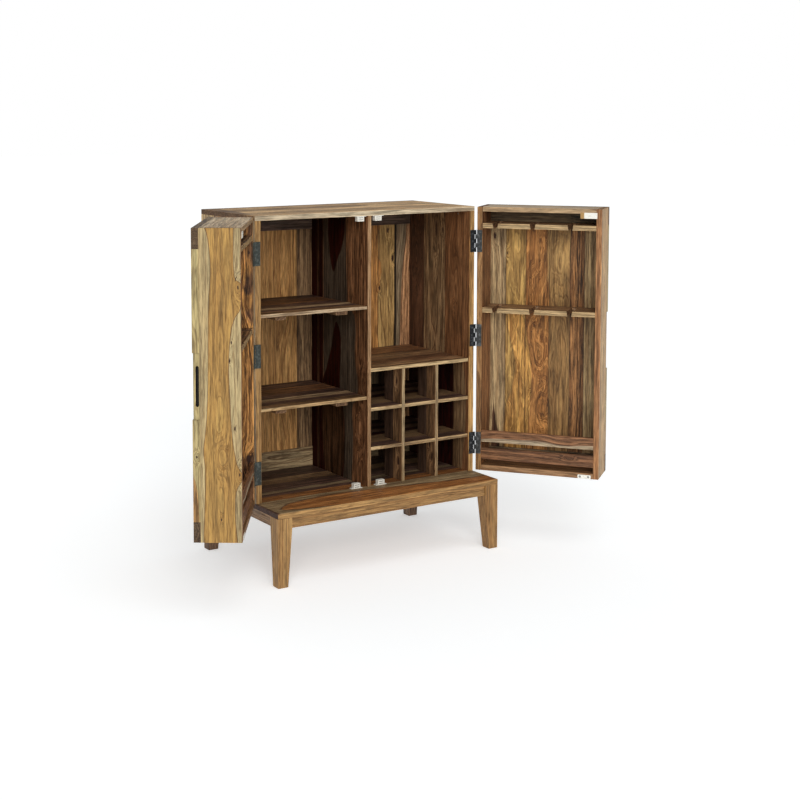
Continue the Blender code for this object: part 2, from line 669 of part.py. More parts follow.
def add_door(side, sign, opening, cabinet, leaf):
    """One door, modelled closed about its pins' axis and swung open by turning the empty there."""
    pin = (-HINGE_PIN_OFFSET if sign > 0 else CASE_WIDTH + HINGE_PIN_OFFSET, TRAY_MOUTH)
    door = bpy.data.objects.new(f"{side}_door_hinge_axis", None)
    bpy.context.scene.collection.objects.link(door)
    door.parent = cabinet
    door.location = (pin[0], pin[1], 0)
    door.rotation_euler[2] = -sign * math.radians(opening)

    def across(near, far):
        """Turns distances from the case's outer face into places beside the pins."""
        return sign * (HINGE_PIN_OFFSET + near), sign * (HINGE_PIN_OFFSET + far)

    add_front(side, across, door)
    add_tray(side, across, door)
    add_glass_racks(side, across, door)
    add_bottle_rails(side, across, door)
    add_leaves(side, sign < 0, leaf, "door_leaf", (0, 0), door)
    return pin


def main():
    for leftover in list(bpy.data.objects):
        bpy.data.objects.remove(leftover)
    cabinet = bpy.data.objects.new("cabinet", None)
    bpy.context.scene.collection.objects.link(cabinet)
    cabinet.location = -middle_of_the_whole()

    add_case(cabinet)
    add_back(cabinet)
    add_shelves(cabinet)
    add_bottle_rack(cabinet)
    add_catches(cabinet)
    add_base(cabinet)
    case_leaf = case_leaf_mesh()
    door_leaf = door_leaf_mesh()
    for side, sign, opening in (("left", 1, LEFT_DOOR_OPENING), ("right", -1, RIGHT_DOOR_OPENING)):
        pin = add_door(side, sign, opening, cabinet, door_leaf)
        add_leaves(side, sign < 0, case_leaf, "case_leaf", pin, cabinet)


main()
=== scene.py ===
# %% [markdown]
# A bar cabinet in solid figured hardwood, standing open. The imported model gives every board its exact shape.
# This lesson dresses it: the camera, the wood's figure, the steel and plastic fittings, the floor and the
# light.

# %% Load the frame
import math

import bmesh
import bpy
from mathutils import Matrix, Vector


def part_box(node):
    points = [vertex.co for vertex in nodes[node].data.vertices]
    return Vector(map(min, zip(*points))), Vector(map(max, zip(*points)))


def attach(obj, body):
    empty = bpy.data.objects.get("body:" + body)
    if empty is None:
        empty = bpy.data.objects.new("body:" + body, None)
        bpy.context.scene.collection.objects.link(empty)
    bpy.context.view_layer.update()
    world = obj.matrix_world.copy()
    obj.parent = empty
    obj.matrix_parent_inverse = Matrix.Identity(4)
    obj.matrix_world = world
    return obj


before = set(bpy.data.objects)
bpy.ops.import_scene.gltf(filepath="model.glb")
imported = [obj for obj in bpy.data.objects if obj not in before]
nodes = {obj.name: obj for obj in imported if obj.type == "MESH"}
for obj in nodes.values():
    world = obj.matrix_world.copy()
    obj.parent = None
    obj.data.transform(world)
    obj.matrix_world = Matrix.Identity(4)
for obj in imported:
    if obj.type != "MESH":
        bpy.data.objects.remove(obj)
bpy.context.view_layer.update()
print("loaded", len(nodes), "boards and fittings")

# %% [markdown]
# The camera stands left of the cabinet and a little above it. A studio camera keeps upright edges nearly
# parallel by sliding its lens, which Blender calls shift. The three axes come from a fit of the photograph's
# edges, and the lens is given in millimetres on a 36 mm sensor.

# %% Camera
CAMERA_PLACE = Vector((-2.864935, -4.416115, 1.608414))
CAMERA_RIGHT = Vector((0.8570644, -0.5152059, -0.0018883))
CAMERA_UP = Vector((0.0479355, 0.0760922, 0.9959479))

camera_data = bpy.data.cameras.new("studio_camera")
camera_data.sensor_width = 36.0
camera_data.lens = 67.6783
camera_data.shift_x = 0.1
camera_data.shift_y = -0.2
camera_data.clip_end = 100.0


def put_in_scene(name, data):
    """Puts a camera, a lamp or a mesh into the scene as an object."""
    thing = bpy.data.objects.new(name, data)
    bpy.context.scene.collection.objects.link(thing)
    return thing


camera = put_in_scene("studio_camera", camera_data)
axes = Matrix((CAMERA_RIGHT, CAMERA_UP, CAMERA_RIGHT.cross(CAMERA_UP))).transposed()
camera.matrix_world = Matrix.Translation(CAMERA_PLACE) @ axes.to_4x4()
bpy.context.scene.camera = camera
print("camera at", tuple(round(value, 3) for value in CAMERA_PLACE))

# %% [markdown]
# Shader nodes are wired by code here, and small helpers keep that short. One adds a node and fills its
# inputs. Others do arithmetic, make noise, blend two values and open a node group with named sockets. A group
# is the shader's own kind of function: it is built once, and each material gives it other values.


# %% Node helpers
def is_output(value):
    return isinstance(value, bpy.types.NodeSocket)


def add_node(kind, inputs=None, tree=None, **settings):
    """Adds a node. An input's value is a number, a colour, a vector or another node's output.

    The node goes into the tree that the first of those outputs is in, or else into the tree that is named.
    """
    inputs = inputs or {}
    tree = tree or next(value.id_data for value in inputs.values() if is_output(value))
    node = tree.nodes.new(kind)
    for name, value in settings.items():
        setattr(node, name, value)
    for name, value in inputs.items():
        if is_output(value):
            tree.links.new(value, node.inputs[name])
        else:
            node.inputs[name].default_value = value
    return node


def use_group(group, inputs):
    """Places a group in a material, gives it this material's own values and returns its results."""
    return add_node("ShaderNodeGroup", inputs, node_tree=group).outputs


def connect(output, target):
    output.id_data.links.new(output, target)


def calculate(operation, *values):
    return add_node("ShaderNodeMath", dict(enumerate(values)), operation=operation).outputs[0]


def on_vectors(operation, first, second=(0, 0, 0), output=0):
    return add_node("ShaderNodeVectorMath", {0: first, 1: second}, operation=operation).outputs[output]


def split(vector):
    return add_node("ShaderNodeSeparateXYZ", {0: vector}).outputs


def combine(*values):
    return add_node("ShaderNodeCombineXYZ", dict(enumerate(values))).outputs[0]


def noise(place, scale, detail, roughness=0.5, output="Fac"):
    inputs = {"Vector": place, "Scale": scale, "Detail": detail, "Roughness": roughness}
    return add_node("ShaderNodeTexNoise", inputs).outputs[output]


def smooth_step(value, low, high, first=0.0, last=1.0):
    """Goes gently from first to last while the value goes from low to high."""
    inputs = {"Value": value, "From Min": low, "From Max": high, "To Min": first, "To Max": last}
    return add_node("ShaderNodeMapRange", inputs, interpolation_type="SMOOTHSTEP").outputs["Result"]


MIX_SOCKETS = {"FLOAT": (2, 3, 0), "VECTOR": (4, 5, 1), "RGBA": (6, 7, 2)}


def blend(share, first, second, kind="RGBA", mode="MIX"):
    """Goes from first to second, which are colours if nothing else is said, as the share goes from 0 to 1."""
    at_first, at_second, result = MIX_SOCKETS[kind]
    inputs = {"Factor": share, at_first: first, at_second: second}
    return add_node("ShaderNodeMix", inputs, data_type=kind, blend_type=mode).outputs[result]


OUTPUT_KINDS = {"Place": "Vector", "Color": "Color"}


def open_group(name, inputs, outputs):
    """Starts a node group. An input without a value is a vector, and one with four numbers is a colour."""
    group = bpy.data.node_groups.new(name, "ShaderNodeTree")
    for title, value in inputs.items():
        kind = "Float" if isinstance(value, float) else "Color" if value and len(value) == 4 else "Vector"
        socket = group.interface.new_socket(name=title, in_out="INPUT", socket_type=f"NodeSocket{kind}")
        if value is not None:
            socket.default_value = value
    for title in outputs:
        kind = OUTPUT_KINDS.get(title, "Float")
        group.interface.new_socket(name=title, in_out="OUTPUT", socket_type=f"NodeSocket{kind}")
    return group, group.nodes.new("NodeGroupInput").outputs, group.nodes.new("NodeGroupOutput").inputs


print("node helpers are ready")

# %% [markdown]
# Wood is a solid made of growth rings round a pith. A board shows those rings wherever the saw crossed them,
# so a believable board needs a pattern that runs through its whole thickness. This group measures how far a
# place lies from the pith, bends that distance with slow and fast noise, and reads bands from it. The same
# bands then run over a face and down its edges, as they do on a real board. Where one band meets the next,
# this wood lays down a thin dark line. Stretched noise adds the fibres and the open pores.

# %% Figured grain
grain, into, out = open_group(
    "Figured grain",
    {"Place": None, "Seed": 0.0, "Pith Across": 0.1, "Pith Depth": 0.1, "Ring Width": 0.012, "Wander": 0.05,
     "Swirl": 0.005},
    ("Rings", "Lines", "Fibres", "Pores"),
)
seed_steps = (1.73, 3.11, 0.97)
seed_place = combine(*(calculate("MULTIPLY", into["Seed"], step) for step in seed_steps))


def stretched_noise(across, along, detail, output="Fac", roughness=0.5):
    """Noise that is drawn out along the grain."""
    scaled = on_vectors("MULTIPLY", into["Place"], (across, across, along))
    return noise(on_vectors("ADD", scaled, seed_place), 1.0, detail, roughness, output)


def centred(colour, amount):
    """Noise that pushes every way alike, by the amount given."""
    shifted = on_vectors("SUBTRACT", colour, (0.5, 0.5, 0.5))
    node = add_node("ShaderNodeVectorMath", {0: shifted, "Scale": amount}, operation="SCALE")
    return node.outputs[0]


def bands(turns, scale, detail, roughness=0.5):
    """Noise along one line, which counts the rings from the pith."""
    inputs = {"W": turns, "Scale": scale, "Detail": detail, "Roughness": roughness}
    return add_node("ShaderNodeTexNoise", inputs, noise_dimensions="1D").outputs["Fac"]


slow_bend = centred(stretched_noise(4.5, 1.5, 2.0, "Color"), into["Wander"])
swirling_bend = centred(stretched_noise(24.0, 8.0, 3.0, "Color"), into["Swirl"])
pith = combine(into["Pith Across"], calculate("MULTIPLY", into["Pith Depth"], -1.0))
bent = on_vectors("ADD", on_vectors("ADD", into["Place"], slow_bend), swirling_bend)
level = on_vectors("MULTIPLY", on_vectors("SUBTRACT", bent, pith), (1.0, 1.0, 0.0))
radius = on_vectors("LENGTH", level, output="Value")
turns = calculate("DIVIDE", radius, into["Ring Width"])
turns = calculate("ADD", turns, calculate("MULTIPLY", into["Seed"], 7.9))
fine_bands = bands(turns, 1.0, 4.0, 0.70)
sharp = smooth_step(fine_bands, 0.38, 0.62)
broad = smooth_step(bands(turns, 0.23, 1.0), 0.36, 0.64)
mottle = smooth_step(stretched_noise(13.0, 2.6, 2.0), 0.33, 0.67)
rings = calculate("MULTIPLY_ADD", sharp, 0.42, calculate("MULTIPLY", broad, 0.33))
off_border = calculate("ABSOLUTE", calculate("SUBTRACT", fine_bands, 0.52))
whole_line = smooth_step(off_border, 0.0, 0.055, 1.0, 0.0)
unbroken = smooth_step(stretched_noise(60.0, 4.0, 2.0), 0.34, 0.52)
connect(calculate("MULTIPLY_ADD", mottle, 0.25, rings), out["Rings"])
connect(calculate("MULTIPLY", whole_line, unbroken), out["Lines"])
connect(stretched_noise(150.0, 9.0, 4.0, roughness=0.80), out["Fibres"])
connect(smooth_step(stretched_noise(330.0, 17.0, 1.0), 0.56, 0.66), out["Pores"])
print("built", grain.name, "with", len(grain.nodes), "nodes")

# %% [markdown]
# A knot is where a branch grew. The rings swell round it, so on the board's face they close into eyes and
# arches. The group lifts the place near the knot, which makes the grain group draw that by itself. A long,
# gentle lift gives the arches of a flat-sawn board. The core is the branch's own dark wood.

# %% Knots and arches
knot, into, out = open_group(
    "Knot",
    {"Place": None, "Across": 0.0, "Along": 0.0, "Size": 0.02, "Stretch": 2.5, "Lift": 0.02,
     "Core Size": 0.006},
    ("Place", "Core"),
)
parts = split(into["Place"])
aside = calculate("SUBTRACT", parts[0], into["Across"])
along = calculate("DIVIDE", calculate("SUBTRACT", parts[2], into["Along"]), into["Stretch"])
squared = calculate("MULTIPLY_ADD", aside, aside, calculate("MULTIPLY", along, along))
share = calculate("DIVIDE", squared, calculate("POWER", into["Size"], 2.0))
swell = calculate("EXPONENT", calculate("MULTIPLY", share, -1.0))
lift = calculate("MULTIPLY", swell, into["Lift"])
connect(on_vectors("ADD", into["Place"], combine(lift, lift)), out["Place"])
ragged = calculate("ADD", noise(into["Place"], 180.0, 2.0), 0.5)
distance = calculate("MULTIPLY", calculate("SQRT", squared), ragged)
inner = calculate("MULTIPLY", into["Core Size"], 0.55)
connect(smooth_step(distance, inner, into["Core Size"], 1.0, 0.0), out["Core"])
print("built", knot.name)

# %% [markdown]
# Broad boards are glued up from narrower ones. This group counts how many joints lie before a place, so that
# each strip can have its own tone and its own figure, and it marks the fine dark line at each joint.

# %% Glued joints
JOINT_NAMES = [f"Joint {number}" for number in range(1, 7)]
BEYOND_ANY_BOARD = 10.0
joints, into, out = open_group(
    "Glued joints",
    {"Place": None, "Seed": 0.0, **dict.fromkeys(JOINT_NAMES, BEYOND_ANY_BOARD)},
    ("Strip", "Seed", "Line"),
)
across = split(into["Place"])[0]
strip = 0.0
nearest = 1.0
for title in JOINT_NAMES:
    strip = calculate("ADD", calculate("GREATER_THAN", across, into[title]), strip)
    gap = calculate("ABSOLUTE", calculate("SUBTRACT", across, into[title]))
    nearest = calculate("MINIMUM", gap, nearest)
connect(strip, out["Strip"])
connect(calculate("MULTIPLY_ADD", strip, 5.3, into["Seed"]), out["Seed"])
connect(smooth_step(nearest, 0.0005, 0.0020, 1.0, 0.0), out["Line"])

# %% [markdown]
# Sapwood is the pale outer wood under the bark, and heartwood often runs in long dark tongues. Both have a
# border that a maker can see and draw. This group takes two drawn borders, ruffles them a little with noise,
# and says how far a place lies between them.

# %% Drawn figure
areas, into, out = open_group(
    "Drawn figure",
    {"Place": None, "Across Share": 0.0, "First Border": -1.0, "Last Border": 2.0, "Softness": 0.02,
     "Ruffle": 0.03},
    ("Inside", "Rim"),
)
stretched = on_vectors("MULTIPLY", into["Place"], (40.0, 40.0, 16.0))
ruffle = calculate("SUBTRACT", noise(stretched, 1.0, 3.0), 0.5)
ruffled = calculate("MULTIPLY_ADD", ruffle, into["Ruffle"], into["Across Share"])
after_first = calculate("SUBTRACT", ruffled, into["First Border"])
before_last = calculate("SUBTRACT", into["Last Border"], ruffled)
depth_inside = calculate("MINIMUM", after_first, before_last)
rim = calculate("ABSOLUTE", depth_inside)
connect(smooth_step(depth_inside, 0.0, into["Softness"]), out["Inside"])
connect(smooth_step(rim, 0.0, into["Softness"], 1.0, 0.0), out["Rim"])
print("built", areas.name)

# %% [markdown]
# Hands, cloths and sandpaper take most off a board's edges, so the finish is thinnest and palest there. Eased
# edges also catch the light, so this pale edge is partly painted highlight as well as wear. The group takes a
# place inside the board's box and finds how near it is to the closest edge. It breaks the result up with
# noise, because wear is never even.

# %% Worn and lit edges
worn_lit_edges, into, out = open_group("Worn and lit edges", {"Place": None, "Board Size": (1.0, 1.0, 1.0), "Reach": 0.0035},
                             ("Wear And Highlight",))
far_side = on_vectors("SUBTRACT", into["Board Size"], into["Place"])
to_faces = on_vectors("MINIMUM", on_vectors("ABSOLUTE", into["Place"]), on_vectors("ABSOLUTE", far_side))
gaps = split(to_faces)
smaller = calculate("MINIMUM", gaps[0], gaps[1])
larger = calculate("MAXIMUM", gaps[0], gaps[1])
second = calculate("MAXIMUM", smaller, calculate("MINIMUM", larger, gaps[2]))
patchy = calculate("MULTIPLY_ADD", noise(into["Place"], 26.0, 3.0), 1.6, 0.1)
reach = calculate("MULTIPLY", into["Reach"], patchy)
connect(smooth_step(second, 0.0, reach, 1.0, 0.0), out["Wear And Highlight"])
print("built", worn_lit_edges.name)

# %% [markdown]
# The last wood group puts the colour together from one tone and a contrast. Dark rings are not only darker
# but also redder. Then come the thin dark lines, fibres that vary everything, knots, open pores, end grain
# that drinks more oil, pale edges that are partly worn and partly painted highlight, and dark glue lines. It
# also gives the roughness and a height.

# %% Oiled wood
GRAIN_PARTS = ("Rings", "Lines", "Fibres", "Pores")
BOARD_PARTS = ("Knot", "End", "Wear And Highlight", "Joint")
oiled, into, out = open_group(
    "Oiled wood",
    {"Tone": (0.3, 0.18, 0.08, 1), "Contrast": 0.4, **dict.fromkeys(GRAIN_PARTS + BOARD_PARTS, 0.0),
     "Gloss Roughness": 0.42},
    ("Color", "Roughness", "Height"),
)
KNOT_COLOUR = (0.040, 0.016, 0.009, 1)
GLUE_COLOUR = (0.02, 0.011, 0.007, 1)


def times(colour, factor):
    """Multiplies a colour by one number or by a tint."""
    if is_output(factor):
        factor = add_node("ShaderNodeCombineColor", dict.fromkeys(range(3), factor)).outputs[0]
    return blend(1.0, colour, factor, mode="MULTIPLY")


def scaled(title, factor, *base):
    """One of the group's inputs times a factor, plus a base where one is given."""
    return calculate("MULTIPLY_ADD" if base else "MULTIPLY", into[title], factor, *base)


pale = times(into["Tone"], calculate("ADD", into["Contrast"], 1.12))
dark = times(into["Tone"], calculate("SUBTRACT", 1.08, into["Contrast"]))
tone = blend(into["Rings"], pale, times(dark, (1.02, 0.88, 0.78, 1)))
line_share = calculate("MULTIPLY", into["Lines"], scaled("Contrast", 1.1, 0.35))
tone = blend(line_share, tone, times(tone, (0.34, 0.27, 0.24, 1)))
fibre_light = calculate("SUBTRACT", smooth_step(into["Fibres"], 0.34, 0.66), 0.5)
fibre_light = calculate("MULTIPLY", fibre_light, scaled("Contrast", 0.8, 0.22))
tone = times(tone, calculate("MULTIPLY_ADD", fibre_light, 2.0, 1.0))
tone = blend(into["Knot"], tone, KNOT_COLOUR)
tone = blend(scaled("Pores", 0.6), tone, times(tone, (0.42, 0.34, 0.28, 1)))
tone = blend(into["End"], tone, times(tone, (0.55, 0.50, 0.47, 1)))
# Pale edges: wear of the finish, and a painted highlight where eased edges catch the light.
tone = blend(scaled("Wear And Highlight", 0.45), tone, times(tone, (1.5, 1.45, 1.4, 1)))
connect(blend(scaled("Joint", 0.7), tone, GLUE_COLOUR), out["Color"])
rough = scaled("End", 0.14, scaled("Pores", 0.18, scaled("Fibres", 0.16, into["Gloss Roughness"])))
connect(scaled("Wear And Highlight", -0.08, rough), out["Roughness"])
height = scaled("Lines", -0.25, scaled("Pores", -0.8, scaled("Rings", 0.25, into["Fibres"])))
connect(scaled("Joint", -1.2, height), out["Height"])
print("built", oiled.name)

# %% [markdown]
# Each board needs its own frame of reference: across the grain, into the thickness, and along the grain, all
# measured from one corner. Boards of the case stand square to the room, so their places only need reordering.
# A door's boards are first turned back about the door's hinge pin.

# %% Board frames
HINGES = {
    "left": {"pin": (-0.474429, -0.009471, 0.0), "turn": math.radians(-123.3), "side": 1.0},
    "right": {"pin": (0.448371, -0.009471, 0.0), "turn": math.radians(128.6), "side": -1.0},
}
PIN_TO_DOOR = (0.0044, -0.00215, 0.0)
AXIS = {"x": 0, "y": 1, "z": 2}
END_FADE = (0.75, 0.95)
boards = dict(nodes)


def door_side(name):
    return name.split("_")[0] if "_door_" in name and "leaf" not in name else None


def own_places(tree, name):
    """Places in the case's axes, or in the closed door's axes: outwards, backwards and up."""
    places = add_node("ShaderNodeTexCoord", tree=tree).outputs["Object"]
    side = door_side(name)
    if side is None:
        return places
    hinge = HINGES[side]
    node = add_node("ShaderNodeMapping", {
        "Vector": places,
        "Location": hinge["pin"],
        "Rotation": (0.0, 0.0, hinge["turn"]),
        "Scale": (hinge["side"], 1.0, 1.0),
    }, vector_type="TEXTURE")
    return on_vectors("SUBTRACT", node.outputs[0], PIN_TO_DOOR)


def end_grain(tree, name, along):
    """Where a face looks along the grain, from 0 to 1."""
    looks = add_node("ShaderNodeTexCoord", tree=tree).outputs["Normal"]
    grain_way = Vector([1.0 if axis == along else 0.0 for axis in "xyz"])
    side = door_side(name)
    if side is not None:
        grain_way = Matrix.Rotation(HINGES[side]["turn"], 3, "Z") @ grain_way
    facing = on_vectors("DOT_PRODUCT", looks, tuple(grain_way), "Value")
    return smooth_step(calculate("ABSOLUTE", facing), *END_FADE)


def own_box(name):
    """A board's low corner and size in the axes of own_places."""
    points = [Vector(vertex.co) for vertex in boards[name].data.vertices]
    side = door_side(name)
    if side is not None:
        hinge = HINGES[side]
        back = Matrix.Rotation(-hinge["turn"], 4, "Z") @ Matrix.Translation(-Vector(hinge["pin"]))
        mirror = Matrix.Diagonal((hinge["side"], 1.0, 1.0))
        points = [mirror @ (back @ point) - Vector(PIN_TO_DOOR) for point in points]
    low = Vector([min(point[axis] for point in points) for axis in range(3)])
    high = Vector([max(point[axis] for point in points) for axis in range(3)])
    return low, high - low


def in_order(places, order):
    """Reorders the three coordinates, so that the last one runs along the grain."""
    parts = split(places)
    return combine(*(parts[AXIS[axis]] for axis in order))


low, size = own_box("right_door_front")
print("the right door's front board starts at", [round(value, 4) for value in low],
      "and measures", [round(value, 4) for value in size])

# %% [markdown]
# The wood runs from cream sapwood to almost black heartwood. Each tone below is the middle tone of one kind
# of strip, mixed as on a paint chart, from 0 to 255. Shaders count light evenly, so a helper turns the
# chart's numbers into shares of light.


# %% Wood tones
def paint(red, green, blue):
    shares = [value / 255.0 for value in (red, green, blue)]
    light = [share / 12.92 if share <= 0.04045 else ((share + 0.055) / 1.055) ** 2.4 for share in shares]
    return (*light, 1.0)


# Black is no wood tone here: it is painted shade in the finger slots and at the back's open joint. Maroon is
# dark heartwood, and in places it is painted shade as well.
CHART = {
    "cream": (165, 149, 109), "butter": (160, 147, 103), "gold": (157, 124, 67), "wheat": (200, 167, 119),
    "sand": (180, 149, 106), "chalk": (184, 166, 137), "driftwood": (160, 146, 122), "linen": (148, 128, 96),
    "biscuit": (158, 128, 96), "pink": (136, 109, 80), "coral": (184, 138, 97), "straw": (184, 141, 87),
    "buff": (173, 141, 95), "flax": (143, 110, 71), "ochre": (167, 135, 84), "yellow": (182, 148, 86),
    "amber": (203, 157, 86), "honey": (173, 123, 68), "tan": (149, 117, 72), "caramel": (139, 107, 65),
    "oat": (168, 145, 107), "fawn": (148, 124, 94), "reed": (137, 118, 90), "pewter": (126, 108, 83),
    "clay": (157, 123, 75), "stone": (125, 99, 70), "moss": (160, 136, 96), "ash": (114, 97, 73),
    "rust": (160, 108, 60), "russet": (126, 88, 57), "copper": (186, 135, 74), "salmon": (157, 115, 76),
    "cedar": (117, 82, 55), "stripe": (136, 96, 57), "walnut": (98, 76, 58), "cocoa": (130, 99, 69),
    "coffee": (85, 63, 52), "shade": (73, 55, 43), "slate": (73, 63, 52), "umber": (80, 53, 36),
    "bark": (66, 44, 28), "soot": (89, 73, 62), "maroon": (40, 9, 5), "black": (12, 9, 7),
}
TONES = {name: paint(*mix) for name, mix in CHART.items()}
print("mixed", len(TONES), "wood tones")

# %% [markdown]
# What is drawn on a board comes in three kinds. A strip is laid from its joint on. A knot grows at one place,
# and one without a core only arches the grain. An area has a tone of its own between two borders. Joints and
# knots are placed in metres across the board and along it. Borders are drawn in shares: pairs of a share
# along the board and one across it.


# %% Strips, knots and areas
NO_CORE = 0.0001


def lay(start, tone, contrast=None, **changes):
    """A glued strip. What it doesn't change is as the board has it."""
    if contrast is not None:
        changes["contrast"] = contrast
    return {"start": start, "tone": tone, **changes}


def knot_at(across, along, size, core=0.003, lift=0.014, stretch=2.5, on_edge=False):
    """A knot, on the board's broad face or on the edge where it ends across."""
    return {"Across": across, "Along": along, "Size": size, "Stretch": stretch, "Lift": lift,
            "Core Size": core}, on_edge


def area(tone, contrast, softness=0.012, ruffle=0.03, rim=0.35, **shape):
    """A drawn area. Its shape is after, before or both, and by_depth or one_face where it needs them."""
    return {"tone": tone, "contrast": contrast, "softness": softness, "ruffle": ruffle, "rim": rim, **shape}


def drawn_border(along_share, points):
    """A drawn border: shares across the board at shares along it. One share alone is straight."""
    if isinstance(points, float):
        points = ((0, points), (1, points))
    node = add_node("ShaderNodeFloatCurve", {"Value": along_share})
    curve = node.mapping.curves[0]
    curve.points[0].location = points[0]
    curve.points[-1].location = points[-1]
    for point in points[1:-1]:
        curve.points.new(*point)
    node.mapping.update()
    return node.outputs[0]


def strip_ramp(strip, colours):
    """Picks one of a few colours by a strip's number."""
    at = calculate("MULTIPLY_ADD", strip, 1.0 / len(colours), 0.5 / len(colours))
    node = add_node("ShaderNodeValToRGB", {"Fac": at})
    ramp = node.color_ramp
    ramp.interpolation = "CONSTANT"
    ramp.elements.remove(ramp.elements[1])
    ramp.elements[0].color = colours[0]
    for number, colour in enumerate(colours[1:], 1):
        ramp.elements.new(number / len(colours)).color = colour
    return node.outputs


print("a border can have any number of points, and a board up to", len(JOINT_NAMES) + 1, "strips")

# %% [markdown]
# A board's finish is put together in one place. It says how the board lies, its tone and contrast, where its
# pith lay and how wide its rings are. Strips, knots, areas, a front edge of another tone and rails across the
# ends are added where a board has them. Strips, knots and areas have functions of their own.


# %% Dressing a board
LAST_STRIP = 0.94
EDGE_FADE = (0.0006, 0.0012)
EDGE_CONTRAST = 0.3
SEAM_FADE = (0.0003, 0.0011)
RAIL_PITH = (0.03, 0.04)
RAMP_SCALE = 10.0
WOOD_RELIEF = (0.3, 0.0006)


def grain_values(seed, look):
    return {"Seed": seed, "Pith Across": look["pith"][0], "Pith Depth": look["pith"][1],
            "Ring Width": look["ring"], "Wander": look["wander"], "Swirl": look["swirl"]}


def glue_up(place, seed, look, strips):
    """Lays a board's strips. Ramps pick each strip's tone, contrast and grain, as numbers from 0 to 1."""
    starts = {title: each["start"] for title, each in zip(JOINT_NAMES, strips)}
    found = use_group(joints, {"Place": place, "Seed": seed, **starts})
    every = [look, *({**look, **each} for each in strips)]

    def pick(rows):
        return strip_ramp(found["Strip"], rows)

    def red_green_blue(picked):
        return add_node("ShaderNodeSeparateColor", {0: picked["Color"]}).outputs

    toned = pick([(*TONES[each["tone"]][:3], each["contrast"]) for each in every])
    bands = pick([(each["ring"] * RAMP_SCALE, each["wander"], each["swirl"] * RAMP_SCALE, each["pith"][1])
                  for each in every])
    widths = red_green_blue(bands)
    piths = pick([(each["pith"][0], 0.0, 0.0, 1.0) for each in every])
    values = {
        "Seed": found["Seed"],
        "Pith Across": red_green_blue(piths)[0],
        "Pith Depth": bands["Alpha"],
        "Ring Width": calculate("MULTIPLY", widths[0], 1.0 / RAMP_SCALE),
        "Wander": widths[1],
        "Swirl": calculate("MULTIPLY", widths[2], 1.0 / RAMP_SCALE),
    }
    return values, toned["Color"], toned["Alpha"], found["Line"]


def grow_knots(place, across_share, knots):
    """Lifts the grain round each knot. Returns the lifted place and where the knots' cores show."""
    core = 0.0
    for values, on_edge in knots:
        seen = in_order(place, "yxz") if on_edge else place
        found = use_group(knot, {"Place": seen, **values})
        lifted, new_core = found["Place"], found["Core"]
        if on_edge:
            at_edge = calculate("GREATER_THAN", across_share, LAST_STRIP)
            new_core = calculate("MULTIPLY", new_core, at_edge)
            lifted = blend(at_edge, place, in_order(lifted, "yxz"), "VECTOR")
        place = lifted
        core = calculate("MAXIMUM", new_core, core)
    return place, core


def paint_area(place, shares, drawn, tone, contrast):
    """Gives an area its own tone and contrast, with a dark rim along its borders."""
    across_share, depth_share, along_share = shares
    by_depth = drawn.get("by_depth", False)
    inputs = {"Place": place, "Across Share": depth_share if by_depth else across_share,
              "Softness": drawn["softness"], "Ruffle": drawn["ruffle"]}
    for title, key in (("First Border", "after"), ("Last Border", "before")):
        if key in drawn:
            inputs[title] = drawn_border(along_share, drawn[key])
    found = use_group(areas, inputs)
    inside, rim = found["Inside"], found["Rim"]
    if by_depth:
        at_edge = calculate("GREATER_THAN", across_share, LAST_STRIP)
        inside, rim = (calculate("MULTIPLY", part, at_edge) for part in (inside, rim))
    if drawn.get("one_face"):
        inside = calculate("MULTIPLY", inside, calculate("LESS_THAN", depth_share, 0.5))
    tone = blend(inside, tone, TONES[drawn["tone"]])
    contrast = blend(inside, contrast, drawn["contrast"], "FLOAT")
    return blend(calculate("MULTIPLY", rim, drawn["rim"]), tone, TONES["umber"]), contrast


def new_material(name):
    """Starts a material. Returns it with its node tree and its shader's inputs."""
    material = bpy.data.materials.new(name)
    material.use_nodes = True
    return material, material.node_tree, material.node_tree.nodes["Principled BSDF"].inputs


def lead_to_shader(finish, shader, relief):
    """Leads a finish's colour, roughness and height to a material's shader."""
    connect(finish["Color"], shader["Base Color"])
    connect(finish["Roughness"], shader["Roughness"])
    strength, distance = relief
    inputs = {"Height": finish["Height"], "Strength": strength, "Distance": distance}
    connect(add_node("ShaderNodeBump", inputs).outputs[0], shader["Normal"])


def give(thing, material):
    thing.data.materials.clear()
    thing.data.materials.append(material)


